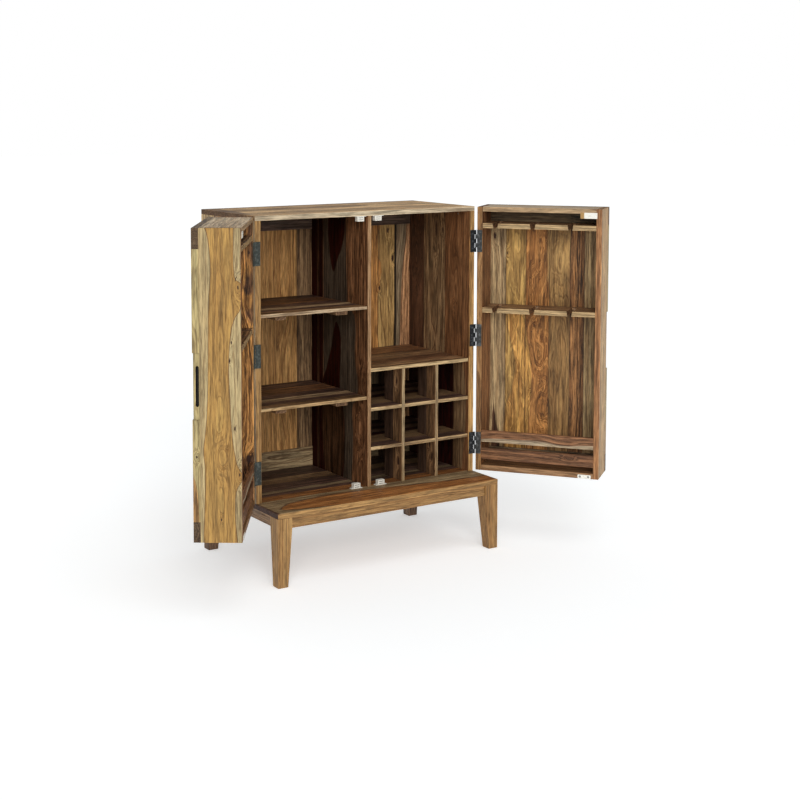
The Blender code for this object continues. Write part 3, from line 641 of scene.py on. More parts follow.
def dress(name, order, tone, seed, contrast=0.4, pith=(0.06, 0.08), ring=0.011, wander=0.05, swirl=0.004,
          strips=(), knots=(), figure=(), bend=(), front_edge=None, mouth_edge=None, rails=None, slot_shade_box=None,
          shine=0.28):
    """Gives a board its own oiled-wood material. Order is across, depth and along, as letters of the axes."""
    material, tree, shader = new_material(f"{name}_wood")
    low, size = own_box(name)
    place = in_order(on_vectors("SUBTRACT", own_places(tree, name), tuple(low)), order)
    board_size = tuple(size[AXIS[axis]] for axis in order)
    parts = split(place)
    shares = [calculate("DIVIDE", parts[axis], board_size[axis]) for axis in range(3)]
    edge_wear_and_highlight = use_group(worn_lit_edges, {"Place": place, "Board Size": board_size})["Wear And Highlight"]
    end = end_grain(tree, name, order[2])
    look = {"tone": tone, "contrast": contrast, "pith": pith, "ring": ring, "wander": wander, "swirl": swirl}
    values, board_tone, board_contrast, line = grain_values(seed, look), TONES[tone], contrast, 0.0
    if strips:
        values, board_tone, board_contrast, line = glue_up(place, seed, look, strips)
    figured = place
    if bend:
        way = calculate("MULTIPLY", drawn_border(shares[2], bend), -board_size[0])
        figured = on_vectors("ADD", place, combine(way))
    figured, core = grow_knots(figured, shares[0], knots)
    for drawn in figure:
        board_tone, board_contrast = paint_area(place, shares, drawn, board_tone, board_contrast)
    if rails:
        height, rail_tone = rails
        margin = calculate("MINIMUM", parts[2], calculate("SUBTRACT", board_size[2], parts[2]))
        on_rail = calculate("LESS_THAN", margin, height)
        figured = blend(on_rail, figured, combine(parts[2], parts[1], parts[0]), "VECTOR")
        board_tone = blend(on_rail, board_tone, TONES[rail_tone])
        plain = grain_values(seed, {**look, "pith": RAIL_PITH})
        values = {title: blend(on_rail, values[title], plain[title], "FLOAT") for title in plain}
        end = blend(on_rail, end, end_grain(tree, name, order[0]), "FLOAT")
        line = calculate("MULTIPLY", line, calculate("SUBTRACT", 1.0, on_rail))
        seam = calculate("ABSOLUTE", calculate("SUBTRACT", margin, height))
        line = calculate("MAXIMUM", smooth_step(seam, *SEAM_FADE, 1.0, 0.0), line)
    from_mouth = calculate("SUBTRACT", board_size[0], parts[0])
    for edge_tone, depth in ((front_edge, parts[0]), (mouth_edge, from_mouth)):
        if edge_tone:
            on_edge = smooth_step(depth, *EDGE_FADE, 1.0, 0.0)
            board_tone = blend(on_edge, board_tone, TONES[edge_tone])
            board_contrast = blend(on_edge, board_contrast, EDGE_CONTRAST, "FLOAT")
    # Painted shade: inside the box of the door front's finger slot, the wood is painted black because the deep
    # slot lies in shade.
    if slot_shade_box:
        in_slot_shade = 1.0
        for part, (first, last) in zip(parts, slot_shade_box):
            in_slot_shade = calculate("MULTIPLY", calculate("GREATER_THAN", part, first), in_slot_shade)
            in_slot_shade = calculate("MULTIPLY", calculate("LESS_THAN", part, last), in_slot_shade)
        board_tone = blend(in_slot_shade, board_tone, TONES["black"])
    shown = use_group(grain, {"Place": figured, **values})
    finish = use_group(oiled, {
        "Tone": board_tone, "Contrast": board_contrast, **{title: shown[title] for title in GRAIN_PARTS},
        "Knot": core, "End": end, "Wear And Highlight": edge_wear_and_highlight, "Joint": line})
    lead_to_shader(finish, shader, WOOD_RELIEF)
    shader["Specular IOR Level"].default_value = shine
    give(boards[name], material)


print("a board's finish takes its order, tone, seed and figure")

# %% [markdown]
# The case. Its top and shelves run left to right, and its sides, divider and back boards run upwards. The
# divider has the cabinet's darkest wood: maroon tongues of heartwood on slate brown, drawn here.

# %% Case boards
dress("case_top", "yzx", "wheat", 3.0, pith=(0.25, 0.16), ring=0.012, wander=0.06, front_edge="driftwood",
      strips=(
          lay(0.06, "sand", 0.5), lay(0.13, "wheat"), lay(0.21, "sand", 0.55), lay(0.30, "wheat", 0.45),
          lay(0.36, "biscuit", 0.45),
      ),
      figure=(area("stone", 0.3, softness=0.3, ruffle=0.2, rim=0.0,
                   after=((0, 0), (0.03, 0.05), (0.09, 1), (1, 1))),))
dress("case_side_left", "yxz", "oat", 11.0, contrast=0.45, pith=(0.2, 0.2), front_edge="tan",
      strips=(lay(0.08, "clay"), lay(0.19, "stone"), lay(0.30, "oat")))
dress("case_side_right", "yxz", "russet", 17.0, pith=(0.16, 0.09), ring=0.021, wander=0.12, swirl=0.006,
      front_edge="clay",
      strips=(
          lay(0.153, "stone", 0.6, pith=(0.22, 0.05), ring=0.016, wander=0.08),
          lay(0.290, "umber", 0.5, pith=(0.34, 0.03), ring=0.012, wander=0.07),
      ),
      knots=(
          knot_at(0.167, 0.884, 0.016, 0.006), knot_at(0.094, 0.60, 0.010),
          knot_at(0.21, 0.885, 0.02, stretch=5.0, lift=0.02, core=0.008),
          knot_at(0.335, 0.78, 0.03, stretch=4.0, lift=0.03, core=NO_CORE),
      ),
      figure=(
          # Painted shade: the rear of the inner face below the rack lid, where the bottle rack's cells are in
          # shade, is painted maroon.
          area("maroon", 0.6, softness=0.03, ruffle=0.02, rim=0.0, one_face=True,
               after=((0, 0.23), (0.42, 0.23), (0.425, 1.1), (1, 1.1))),
          area("stone", 0.4, softness=0.03, ruffle=0.02, rim=0.0, one_face=True,
               after=((0, 0.09), (0.42, 0.09), (0.425, 1.1), (1, 1.1)), before=0.25),
      ))
dress("centre_divider", "yxz", "cedar", 23.0, contrast=0.6, pith=(0.045, 0.03), ring=0.010, wander=0.06,
      swirl=0.006, front_edge="pink", shine=0.05,
      strips=(
          lay(0.306, "maroon", 0.5, pith=(0.1, 0.1), ring=0.008),
          lay(0.332, "umber", 0.7, pith=(0.1, 0.1), ring=0.007), lay(0.348, "maroon", 0.3, pith=(0.1, 0.1)),
      ),
      knots=(
          knot_at(0.045, 0.20, 0.03, stretch=3.0, lift=0.03, core=NO_CORE),
          knot_at(0.02, 0.37, 0.025, lift=0.02, core=0.002),
      ),
      figure=(
          area("slate", 0.3, softness=0.02, ruffle=0.02, rim=0.3,
               after=((0, 0.264), (0.173, 0.238), (0.277, 0.25), (0.32, 0.17), (0.364, 0.157),
                      (0.465, 0.205), (0.62, 0.21), (0.66, 0.34), (0.70, 0.343), (0.80, 0.357),
                      (0.965, 0.369), (1, 0.37)),
               before=0.79),
          area("maroon", 0.6, softness=0.015, rim=0.0,
               after=((0, 0.62), (0.76, 0.62), (0.778, 0.575), (0.813, 0.534), (0.863, 0.452),
                      (0.916, 0.398), (0.965, 0.383), (1, 0.38)),
               before=((0, 0.58), (0.76, 0.58), (0.781, 0.617), (0.80, 0.64), (0.849, 0.672),
                      (0.957, 0.698), (1, 0.70))),
          area("maroon", 0.6, softness=0.015, rim=0.0,
               after=((0, 0.413), (0.26, 0.413), (0.30, 0.46), (0.343, 0.48), (0.45, 0.466),
                      (0.543, 0.465), (0.5865, 0.535), (0.60, 0.62), (1, 0.62)),
               before=((0, 0.80), (0.34, 0.802), (0.405, 0.729), (0.499, 0.632), (0.5865, 0.562),
                      (0.60, 0.50), (1, 0.50))),
          area("bark", 0.7, softness=0.03, rim=0.0,
               after=((0, 0.425), (0.26, 0.425), (0.30, 0.52), (0.34, 0.70), (0.36, 1), (1, 1)),
               before=((0, 0.77), (0.36, 0.77), (0.38, 0.5), (1, 0.5))),
      ))
dress("back_rail_top", "zyx", "soot", 29.0)
dress("back_rail_bottom", "zyx", "linen", 31.0)
dress("back_board_wide", "xyz", "honey", 37.0, contrast=0.28, pith=(0.1, 0.12), ring=0.013, wander=0.04,
      # Painted shade: the board's edge at the open joint to the narrow board is painted maroon.
      mouth_edge="maroon",
      strips=(
          lay(0.21, "straw", 0.25, pith=(0.306, 0.028), ring=0.010, swirl=0.006),
          lay(0.365, "stone", 0.6, pith=(0.50, 0.03), ring=0.014, wander=0.02),
          lay(0.47, "fawn", pith=(0.6, 0.1)), lay(0.60, "honey", 0.5, pith=(0.75, 0.1)),
          lay(0.7247, "ochre", 0.4, pith=(0.83, 0.05), wander=0.09, swirl=0.022, ring=0.032),
      ),
      knots=(
          knot_at(0.300, 0.30, 0.05, stretch=6.0, lift=0.02, core=NO_CORE),
          knot_at(0.792, 0.692, 0.012, 0.007), knot_at(0.770, 0.801, 0.014, stretch=3.0, core=0.005),
          knot_at(0.7317, 0.58, 0.010, 0.005),
      ),
      figure=(area("honey", 0.4, softness=0.006, rim=0.25, after=0.80,
                   before=((0, 0.895), (0.48, 0.898), (0.596, 0.902), (0.664, 0.906), (0.743, 0.923),
                          (0.817, 0.927), (0.866, 0.896), (0.92, 0.889), (0.98, 0.914), (1, 0.92))),
              # Partly painted shade: behind the bottle rack the board is painted ash, both for its own darker
              # wood and for the rack's shade.
              area("ash", 0.3, softness=0.02, ruffle=0.02, rim=0.0,
                   after=((0, 0.80), (0.42, 0.80), (0.43, 2), (1, 2)))))
NARROW_FLOW = ((0, 0.35), (0.4, 0.36), (0.64, 0.41), (0.82, 0.567), (0.947, 0.76), (1, 0.80))
dress("back_board_narrow", "xyz", "pewter", 41.0, contrast=0.35, pith=(0.3, 0.05), ring=0.008, swirl=0.003,
      bend=NARROW_FLOW,
      figure=(
          area("coral", 0.6, softness=0.04, ruffle=0.04, after=NARROW_FLOW),
          # Painted shade: the narrow board's rebate lip behind the open joint is painted black.
          area("black", 0.0, softness=0.01, ruffle=0.0, rim=0.0, before=0.118),
      ))
for name, seed, edge in (("shelf_upper", 43.0, "chalk"), ("shelf_lower", 47.0, "oat")):
    dress(name, "yzx", "cocoa", seed, contrast=0.9, pith=(0.45, 0.05), ring=0.016, wander=0.07,
          front_edge=edge, shine=0.15, strips=(
              lay(0.05, "coffee", 0.6), lay(0.09, "fawn", 0.6), lay(0.14, "coffee", 0.8),
              lay(0.20, "cedar", 0.8), lay(0.30, "coffee"),
          ))
print("dressed the case")

# %% [markdown]
# The bottle rack: nine cells of thin boards that cross in half laps, with pale front edges on dark faces.

# %% Bottle rack boards
dress("bottle_rack_lid", "yzx", "cocoa", 53.0, contrast=0.9, pith=(0.5, 0.05), ring=0.012, front_edge="oat",
      strips=(lay(0.07, "cedar"), lay(0.15, "cocoa"), lay(0.24, "russet")))
for number, knot_height in ((1, 0.36), (2, 0.11)):
    dress(f"bottle_rack_board_{number}", "yzx", "coffee", 59.0 + number, contrast=0.6, ring=0.014,
          pith=(0.45, 0.05), front_edge="oat", strips=(
              lay(0.06, "stone", 0.4), lay(0.16, "maroon"), lay(0.20, "walnut"), lay(0.25, "maroon"),
              lay(0.28, "coffee"), lay(0.33, "maroon"),
          ))
    dress(f"bottle_rack_front_upright_{number}", "yxz", "cocoa", 67.0 + number, contrast=0.6, ring=0.014,
          pith=(0.02, 0.03), wander=0.07, swirl=0.012, front_edge="linen",
          strips=(lay(0.058, "shade", 0.4),),
          knots=(knot_at(0.035, knot_height, 0.014, 0.006), knot_at(0.022, 0.07, 0.012, 0.008)))
    dress(f"bottle_rack_rear_upright_{number}", "yxz", "shade", 71.0 + number, contrast=0.3,
          front_edge="stone")
print("dressed the bottle rack")

# %% [markdown]
# The base: a broad board on four tapered legs, with aprons between them. A long flame of red heartwood runs
# along the base board, between pale wood at its front edge and brown wood behind.

# %% Base boards
FLAME_FRONT = ((0, 0.16), (0.035, 0.115), (0.043, 0.09), (0.063, 0.057), (0.122, 0.035), (0.206, 0.012),
               (0.327, -0.02), (1, -0.02))
FLAME_BACK = ((0, 0.08), (0.035, 0.095), (0.0456, 0.1045), (0.0706, 0.149), (0.108, 0.187), (0.184, 0.215),
              (0.285, 0.235), (0.412, 0.228), (0.535, 0.21), (0.654, 0.18), (0.78, 0.15), (1, 0.12))
dress("base_top", "yzx", "linen", 79.0, pith=(0.5, 0.06), ring=0.014, front_edge="caramel",
      strips=(
          lay(0.162, "rust", 0.6), lay(0.215, "coffee", 0.7), lay(0.245, "reed", 0.6),
          lay(0.275, "coffee", 0.8), lay(0.36, "stone", 0.7), lay(0.43, "coffee", 0.7),
      ),
      figure=(
          area("rust", 0.45, rim=0.9, after=FLAME_FRONT, before=FLAME_BACK),
          area("coffee", 0.3, softness=0.02, ruffle=0.01, rim=0.0,
               before=((0, 0.9), (0.004, 0.8), (0.012, 0), (1, 0))),
      ))
for side, tone, step in (("left", "tan", 0.0), ("right", "caramel", 1.0)):
    dress(f"leg_front_{side}", "xyz", tone, 87.0 + step, contrast=0.2, ring=0.012, pith=(0.2, 0.05))
    dress(f"leg_back_{side}", "xyz", "walnut", 101.0 + step, ring=0.009)
    dress(f"apron_{side}", "zxy", "stone", 105.0 + step)
for side, seed in (("front", 114.0), ("back", 113.0)):
    dress(f"apron_{side}", "zyx", "caramel", seed, contrast=0.25, ring=0.014, pith=(0.3, 0.05))
print("dressed the base")

# %% [markdown]
# The doors. Each front is a panel of upright strips between a top and a bottom rail, from pale grey wood at
# the hinges through yellow and swirling orange wood to dark stripes and grey. The left door's free side faces
# outwards when the door is open, and has golden heartwood between two pale bands.

# %% Door boards
PANEL_STRIPS = (
    lay(0.078, "yellow", 0.3, pith=(0.12, 0.04), ring=0.045, wander=0.10, swirl=0.030),
    lay(0.154, "honey", 0.4, pith=(0.20, 0.03), ring=0.016, wander=0.12, swirl=0.026),
    lay(0.2425, "tan", 0.35, pith=(0.28, 0.04), ring=0.018, wander=0.05, swirl=0.008),
    lay(0.3195, "stripe", 0.8, pith=(0.10, 0.06), ring=0.017, wander=0.07, swirl=0.003),
    lay(0.3722, "moss", 0.4, pith=(0.9, 0.05), ring=0.010, wander=0.03, swirl=0.003),
    lay(0.428, "butter", 0.2, pith=(0.9, 0.05), ring=0.010, wander=0.03, swirl=0.003),
)
PANEL_KNOTS = (
    knot_at(0.035, 0.862, 0.018, 0.006), knot_at(0.0829, 0.799, 0.010),
    knot_at(0.177, 0.508, 0.022, lift=0.018, core=0.002),
    knot_at(0.199, 0.418, 0.026, lift=0.018, core=NO_CORE),
    knot_at(0.2125, 0.219, 0.026, lift=0.020, core=NO_CORE),
    knot_at(0.278, 0.76, 0.032, stretch=4.0, core=NO_CORE),
    knot_at(0.0123, 0.2696, 0.014, stretch=1.2, core=0.004, on_edge=True),
)
PANEL_FIGURE = (
    area("umber", 0.5, softness=0.01, ruffle=0.02, rim=0.0,
         after=((0, 0.05), (0.12, 0.055), (0.2, 0.062), (0.265, 0.072), (0.3, 0.09), (1, 0.09)),
         before=((0, 0.14), (0.12, 0.125), (0.167, 0.10), (0.265, 0.074), (0.3, 0.07), (1, 0.07))),
    area("amber", 0.45, rim=0.3,
         after=((0, 0.173), (0.22, 0.173), (0.30, 0.23), (0.42, 0.24), (0.52, 0.19), (0.59, 0.173),
                (0.605, 0.22), (0.62, 0.36), (1, 0.36)),
         before=((0, 0.336), (0.555, 0.336), (0.58, 0.30), (0.60, 0.24), (0.62, 0.16), (1, 0.16))),
    area("ochre", 0.3, softness=0.02, ruffle=0.04, rim=0.2,
         after=((0, 1.1), (0.57, 1.1), (0.61, 0.62), (0.67, 0.533), (1, 0.533)),
         before=((0, 0.69), (0.60, 0.66), (0.72, 0.70), (1, 0.70))),
    area("clay", 0.5, softness=0.05, ruffle=0.0, rim=0.5, by_depth=True,
         before=((0, 1.05), (0.07, 0.9), (0.146, 0.72), (0.2, 0.3), (0.225, -0.1), (1, -0.1))),
)
SAPWOOD_BANDS = (
    area("cream", 0.2, rim=1.0, ruffle=0.015,
         after=((0, 0.886), (0.119, 0.83), (0.158, 0.853), (0.192, 0.955), (0.21, 1.02), (0.232, 0.955),
                (0.254, 0.88), (0.304, 0.806), (0.371, 0.752), (0.455, 0.724), (0.555, 0.696), (0.605, 0.711),
                (0.671, 0.757), (0.715, 0.842), (0.748, 0.983), (0.79, 1.04), (0.828, 0.985), (0.836, 0.889),
                (0.858, 0.836), (1, 0.836))),
    area("cream", 0.2, rim=1.0, ruffle=0.015,
         before=((0, 0.079), (0.09, 0.096), (0.236, 0.121), (0.292, 0.091), (0.354, 0.136), (0.455, 0.192),
                 (0.594, 0.213), (0.781, 0.24), (0.858, 0.28), (0.956, 0.237), (1, 0.15))),
)
FREE_SIDE_KNOTS = (
    knot_at(0.1206, 0.7964, 0.014, lift=0.03), knot_at(0.1272, 0.8222, 0.005, lift=0.006, core=0.004),
    knot_at(0.0995, 0.6268, 0.005, lift=0.006), knot_at(0.0933, 0.5699, 0.005, lift=0.006),
    knot_at(0.1084, 0.3596, 0.005, lift=0.006), knot_at(0.1226, 0.2154, 0.014, lift=0.03),
    knot_at(0.0651, 0.073, 0.005, lift=0.006, core=0.0025),
    knot_at(0.0634, 0.27, 0.024, stretch=2.6, lift=0.012, core=NO_CORE),
)
HINGE_SIDE_KNOTS = (
    knot_at(0.117, 0.86, 0.022, stretch=3.0, lift=0.010), knot_at(0.105, 0.69, 0.030, lift=0.012, core=0.001),
    knot_at(0.112, 0.16, 0.024, stretch=2.0, core=0.009),
)
DARK_HEARTWOOD = (
    area("russet", 0.9, softness=0.25, ruffle=0.8, rim=0.0,
         after=((0, 0.3), (0.12, 0.5), (0.17, 0.65), (0.21, 1.1), (0.3, 1.0), (0.4, 1.1), (0.6, 1.1),
                (0.66, 0.7), (0.71, 0.9), (0.76, 0.6), (0.82, 0.8), (0.88, 0.6), (1, 0.7))),
)
RAIL_FLOW = ((0, 0.23), (0.13, 0.36), (0.28, 0.385), (0.545, 0.415), (0.74, 0.21), (0.92, 0.34), (1, 0.36))
# The finger slot's box in each door front, in metres. Its inside is painted black as painted shade.
FINGER_SLOT_SHADE = ((0.430, 0.4492), (0.0098, 0.0202), (0.425, 0.553))
PANEL_RAILS = (0.064, "ash")
dress("left_door_hinge_side", "yxz", "copper", 207.0, contrast=0.7, pith=(0.05, 0.03), ring=0.012,
      wander=0.09, swirl=0.016, mouth_edge="tan", knots=HINGE_SIDE_KNOTS, figure=DARK_HEARTWOOD)
dress("left_door_free_side", "yxz", "gold", 213.0, contrast=0.18, pith=(0.06, 0.03), ring=0.009,
      wander=0.03, swirl=0.003, mouth_edge="cedar", knots=FREE_SIDE_KNOTS, figure=SAPWOOD_BANDS)
dress("right_door_hinge_side", "yxz", "russet", 307.0, contrast=0.6, pith=(0.05, 0.03), ring=0.013,
      wander=0.08, swirl=0.014, mouth_edge="flax")
dress("right_door_free_side", "yxz", "buff", 313.0, contrast=0.35, pith=(0.06, 0.03), ring=0.010,
      mouth_edge="salmon")
for side, first in (("left", 200.0), ("right", 300.0)):
    dress(f"{side}_door_front", "xyz", "oat", first, pith=(0.5, 0.06), ring=0.014, wander=0.06,
          strips=PANEL_STRIPS, knots=PANEL_KNOTS, figure=PANEL_FIGURE, rails=PANEL_RAILS, slot_shade_box=FINGER_SLOT_SHADE)
    dress(f"{side}_door_top", "yzx", "chalk", first + 19.0, contrast=0.3, pith=(0.4, 0.05), mouth_edge="fawn")
    dress(f"{side}_door_bottom", "yzx", "cocoa", first + 23.0, pith=(0.4, 0.05), mouth_edge="cocoa")
    for row in ("upper", "lower"):
        dress(f"{side}_door_glass_rack_{row}", "yzx", "cocoa", first + 34.0, contrast=0.6, mouth_edge="oat")
    dress(f"{side}_door_bottle_rail_upper", "zyx", "cedar", first + 37.0, contrast=0.5, ring=0.010,
          pith=(0.2, 0.03), bend=RAIL_FLOW,
          figure=(area("driftwood", 0.2, softness=0.05, ruffle=0.02, before=RAIL_FLOW),))
    dress(f"{side}_door_bottle_rail_lower", "zyx", "cedar", first + 43.0, contrast=0.5, ring=0.010,
          pith=(0.2, 0.03),
          knots=(knot_at(0.027, 0.326, 0.010, lift=0.02, core=0.001),))
print("dressed the doors")

# %% [markdown]
# The steel and plastic fittings are few and small, so their finish has to carry them. Blackened steel is
# rubbed to grey in places, and it keeps fine scratches. White moulded plastic is smooth, a little uneven, and
# dusty in patches.

# %% Steel and plastic finishes
steel_wear, into, out = open_group(
    "Rubbed steel",
    {"Place": None, "Tone": (0.02, 0.02, 0.02, 1), "Rubbed Tone": (0.2, 0.2, 0.2, 1), "Rubbed": 0.3},
    ("Color", "Roughness", "Height"),
)
clouds = noise(into["Place"], 90.0, 4.0)
grit = noise(into["Place"], 900.0, 2.0)
drawn_out = on_vectors("MULTIPLY", into["Place"], (300.0, 300.0, 2500.0))
scratches = noise(drawn_out, 1.0, 2.0)
bare = calculate("MAXIMUM", smooth_step(clouds, 0.45, 0.70), smooth_step(scratches, 0.62, 0.75))
bare = calculate("MULTIPLY", bare, into["Rubbed"])
rough = calculate("MULTIPLY_ADD", grit, 0.25, 0.30)
connect(blend(bare, into["Tone"], into["Rubbed Tone"]), out["Color"])
connect(calculate("MULTIPLY_ADD", bare, -0.12, rough), out["Roughness"])
connect(calculate("MULTIPLY_ADD", scratches, -0.5, grit), out["Height"])

moulded, into, out = open_group(
    "Moulded plastic",
    {"Place": None, "Tone": (0.8, 0.78, 0.72, 1), "Dust Tone": (0.35, 0.33, 0.30, 1)},
    ("Color", "Roughness", "Height"),
)
pebble = noise(into["Place"], 1400.0, 1.0)
flow = noise(into["Place"], 140.0, 3.0)
dusty = calculate("MULTIPLY", smooth_step(flow, 0.50, 0.75), 0.5)
connect(blend(dusty, into["Tone"], into["Dust Tone"]), out["Color"])
connect(calculate("MULTIPLY_ADD", pebble, 0.2, 0.35), out["Roughness"])
connect(pebble, out["Height"])


FITTING_RELIEF = (0.25, 0.0002)


def fitting_finish(name, group, metallic, values):
    """A material for a fitting from one of the two groups above."""
    material, tree, shader = new_material(name)
    place = add_node("ShaderNodeTexCoord", tree=tree).outputs["Object"]
    lead_to_shader(use_group(group, {"Place": place, **values}), shader, FITTING_RELIEF)
    shader["Metallic"].default_value = metallic
    return material


def steel(name, metallic, tone, rubbed_tone, rubbed):
    values = {"Tone": paint(*tone), "Rubbed Tone": paint(*rubbed_tone), "Rubbed": rubbed}
    return fitting_finish(name, steel_wear, metallic, values)


def plastic(name, tone, dust_tone):
    return fitting_finish(name, moulded, 0.0, {"Tone": paint(*tone), "Dust Tone": paint(*dust_tone)})


SLATE_STEEL = steel("slate_steel", 0.6, (56, 60, 56), (128, 134, 126), 0.35)
BLACK_STEEL = steel("black_steel", 0.6, (28, 30, 32), (100, 104, 108), 0.4)
GREY_STEEL = steel("grey_steel", 0.6, (62, 64, 64), (140, 142, 142), 0.5)
BRIGHT_STEEL = steel("bright_steel", 0.9, (140, 140, 138), (215, 215, 212), 0.6)
TAN_STEEL = steel("tan_steel", 0.4, (176, 138, 84), (214, 184, 132), 0.5)
WHITE_PLASTIC = plastic("white_plastic", (232, 228, 216), (150, 142, 128))
WHITE_ENAMEL = plastic("white_enamel", (238, 236, 226), (176, 164, 140))

CATCHES = ("top_left", "top_right", "bottom_left", "bottom_right")
HINGE_NUMBERS = (1, 2, 3)
for number in HINGE_NUMBERS:
    give(nodes[f"left_hinge_{number}_case_leaf"], SLATE_STEEL)
    give(nodes[f"left_hinge_{number}_door_leaf"], SLATE_STEEL)
    give(nodes[f"right_hinge_{number}_case_leaf"], BLACK_STEEL)
    give(nodes[f"right_hinge_{number}_door_leaf"], GREY_STEEL)
for place in CATCHES:
    give(nodes[f"catch_{place}"], WHITE_PLASTIC)
print("six hinges and four catches have their finishes")

# %% [markdown]
# Screws hold the fittings, and each leaf has three. A screw's head is a low dome with a cross cut into it,
# built ring by ring: the rim sinks into the metal, the dome rises, and the cross goes down in the middle. A
# hinge's screws are sunk almost flush, because its leaves close to half a millimetre of each other. All of a
# leaf's screws are one piece, because nobody ever moves one alone.


# %% Screws
ARM = 0.34
CROSS = ((1, -ARM), (1, ARM), (ARM, ARM), (ARM, 1), (-ARM, 1), (-ARM, ARM),
         (-1, ARM), (-1, -ARM), (-ARM, -ARM), (-ARM, -1), (ARM, -1), (ARM, -ARM))
ROUND = [(math.cos(math.radians(angle)), math.sin(math.radians(angle))) for angle in range(-15, 345, 30)]
RIM_DEPTH = 0.0004


def skin(mesh, loops, smooth=False):
    """Closes a stack of outlines into a body: sides between neighbours, then both ends."""
    for lower, upper in zip(loops, loops[1:]):
        for number in range(len(lower)):
            after = (number + 1) % len(lower)
            face = mesh.faces.new((lower[number], lower[after], upper[after], upper[number]))
            face.smooth = smooth
    mesh.faces.new(loops[-1])
    mesh.faces.new(loops[0][::-1])


def add_screw(mesh, centre, outwards, radius, rise, turn):
    """Adds one cross-head screw whose rim lies on a face at centre."""
    outwards = Vector(outwards).normalized()
    first = outwards.orthogonal().normalized()
    other = outwards.cross(first)
    swing = Matrix.Rotation(turn, 2)

    def ring(shape, reach, height):
        swung = [swing @ Vector(point) for point in shape]
        return [mesh.verts.new(Vector(centre) + first * point.x * reach + other * point.y * reach
                               + outwards * height) for point in swung]

    skin(mesh, [
        ring(ROUND, radius, -RIM_DEPTH),
        ring(ROUND, radius, rise * 0.3),
        ring(ROUND, radius * 0.86, rise * 0.8),
        ring(ROUND, radius * 0.62, rise),
        ring(CROSS, radius * 0.50, rise),
        ring(CROSS, radius * 0.40, rise * 0.15),
    ], smooth=True)


def finish_piece(name, mesh, material, body):
    """Makes a piece of a built mesh. The piece rides on a body."""
    bmesh.ops.recalc_face_normals(mesh, faces=mesh.faces)
    data = bpy.data.meshes.new(name)
    mesh.to_mesh(data)
    mesh.free()
    data.materials.append(material)
    piece = put_in_scene(name, data)
    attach(piece, body)
    return piece


def on_door(side, out_from_hinge, back, up):
    """A place in a closed door's axes, turned to where the open door has it."""
    hinge = HINGES[side]
    point = Vector((out_from_hinge, back, up)) + Vector(PIN_TO_DOOR)
    point.x *= hinge["side"]
    return Vector(hinge["pin"]) + Matrix.Rotation(hinge["turn"], 3, "Z") @ point


def inwards(side):
    """The way that the inner face of an open door looks."""
    return on_door(side, 0.0, 1.0, 0.0) - on_door(side, 0.0, 0.0, 0.0)


LEAF_SCREW_STEPS = (0.013, 0.0405, 0.068)
LEAF_SCREW_RADIUS = 0.0034
SCREW_RISE = 0.0007
SUNK_RISE = 0.00018
CASE_TURN = 90
DOOR_TURN = 70
SIDE_SCREW_TURN = 0.4
CASE_LEAF_MIDDLE = {"left": -0.4605, "right": 0.4345}
CASE_LEAF_FACE = -0.00923
DOOR_LEAF_MIDDLE = 0.0105
DOOR_LEAF_FACE = 0.0019
for side, screw_steel in (("left", SLATE_STEEL), ("right", GREY_STEEL)):
    for number in HINGE_NUMBERS:
        leaf_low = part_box(f"{side}_hinge_{number}_case_leaf")[0][2]
        case_mesh = bmesh.new()
        door_mesh = bmesh.new()
        for step in LEAF_SCREW_STEPS:
            on_case = (CASE_LEAF_MIDDLE[side], CASE_LEAF_FACE, leaf_low + step)
            on_leaf = on_door(side, DOOR_LEAF_MIDDLE, DOOR_LEAF_FACE, leaf_low + step)
            size = (LEAF_SCREW_RADIUS, SUNK_RISE)
            add_screw(case_mesh, on_case, (0, -1, 0), *size, number + step * CASE_TURN)
            add_screw(door_mesh, on_leaf, inwards(side), *size, number + step * DOOR_TURN)
        for place, mesh, body in (("case", case_mesh, "cabinet"), ("door", door_mesh, f"{side}_door")):
            hinge_name = f"{side}_hinge_{number}_{place}"
            finish_piece(f"{hinge_name}_screws", mesh, screw_steel, body)
print("36 hinge screws")

# %% [markdown]
# Each catch is a white housing with a magnet inside. Two thin steel strips carry the magnet's pull to the
# front, and two small screws hold the flange. A strip's edges and ends are eased by a small bevel.


# %% Catch strips and screws
def add_bar(mesh, low, high, ease):
    """Adds a straight bar with eased edges and ends, from its low corner to its high one."""
    low, high = Vector(low), Vector(high)
    span = high - low
    axis = max(range(3), key=lambda number: span[number])
    one, two = (number for number in range(3) if number != axis)
    loops = []
    for along, inset in ((0.0, ease), (ease, 0.0), (span[axis] - ease, 0.0), (span[axis], ease)):
        near, wide, tall = inset, span[one] - inset, span[two] - inset
        outline = ((near, near + ease), (near + ease, near), (wide - ease, near), (wide, near + ease),
                   (wide, tall - ease), (wide - ease, tall), (near + ease, tall), (near, tall - ease))
        loop = []
        for across, up in outline:
            point = low.copy()
            point[axis] += along
            point[one] += across
            point[two] += up
            loop.append(mesh.verts.new(point))
        loops.append(loop)
    skin(mesh, loops)


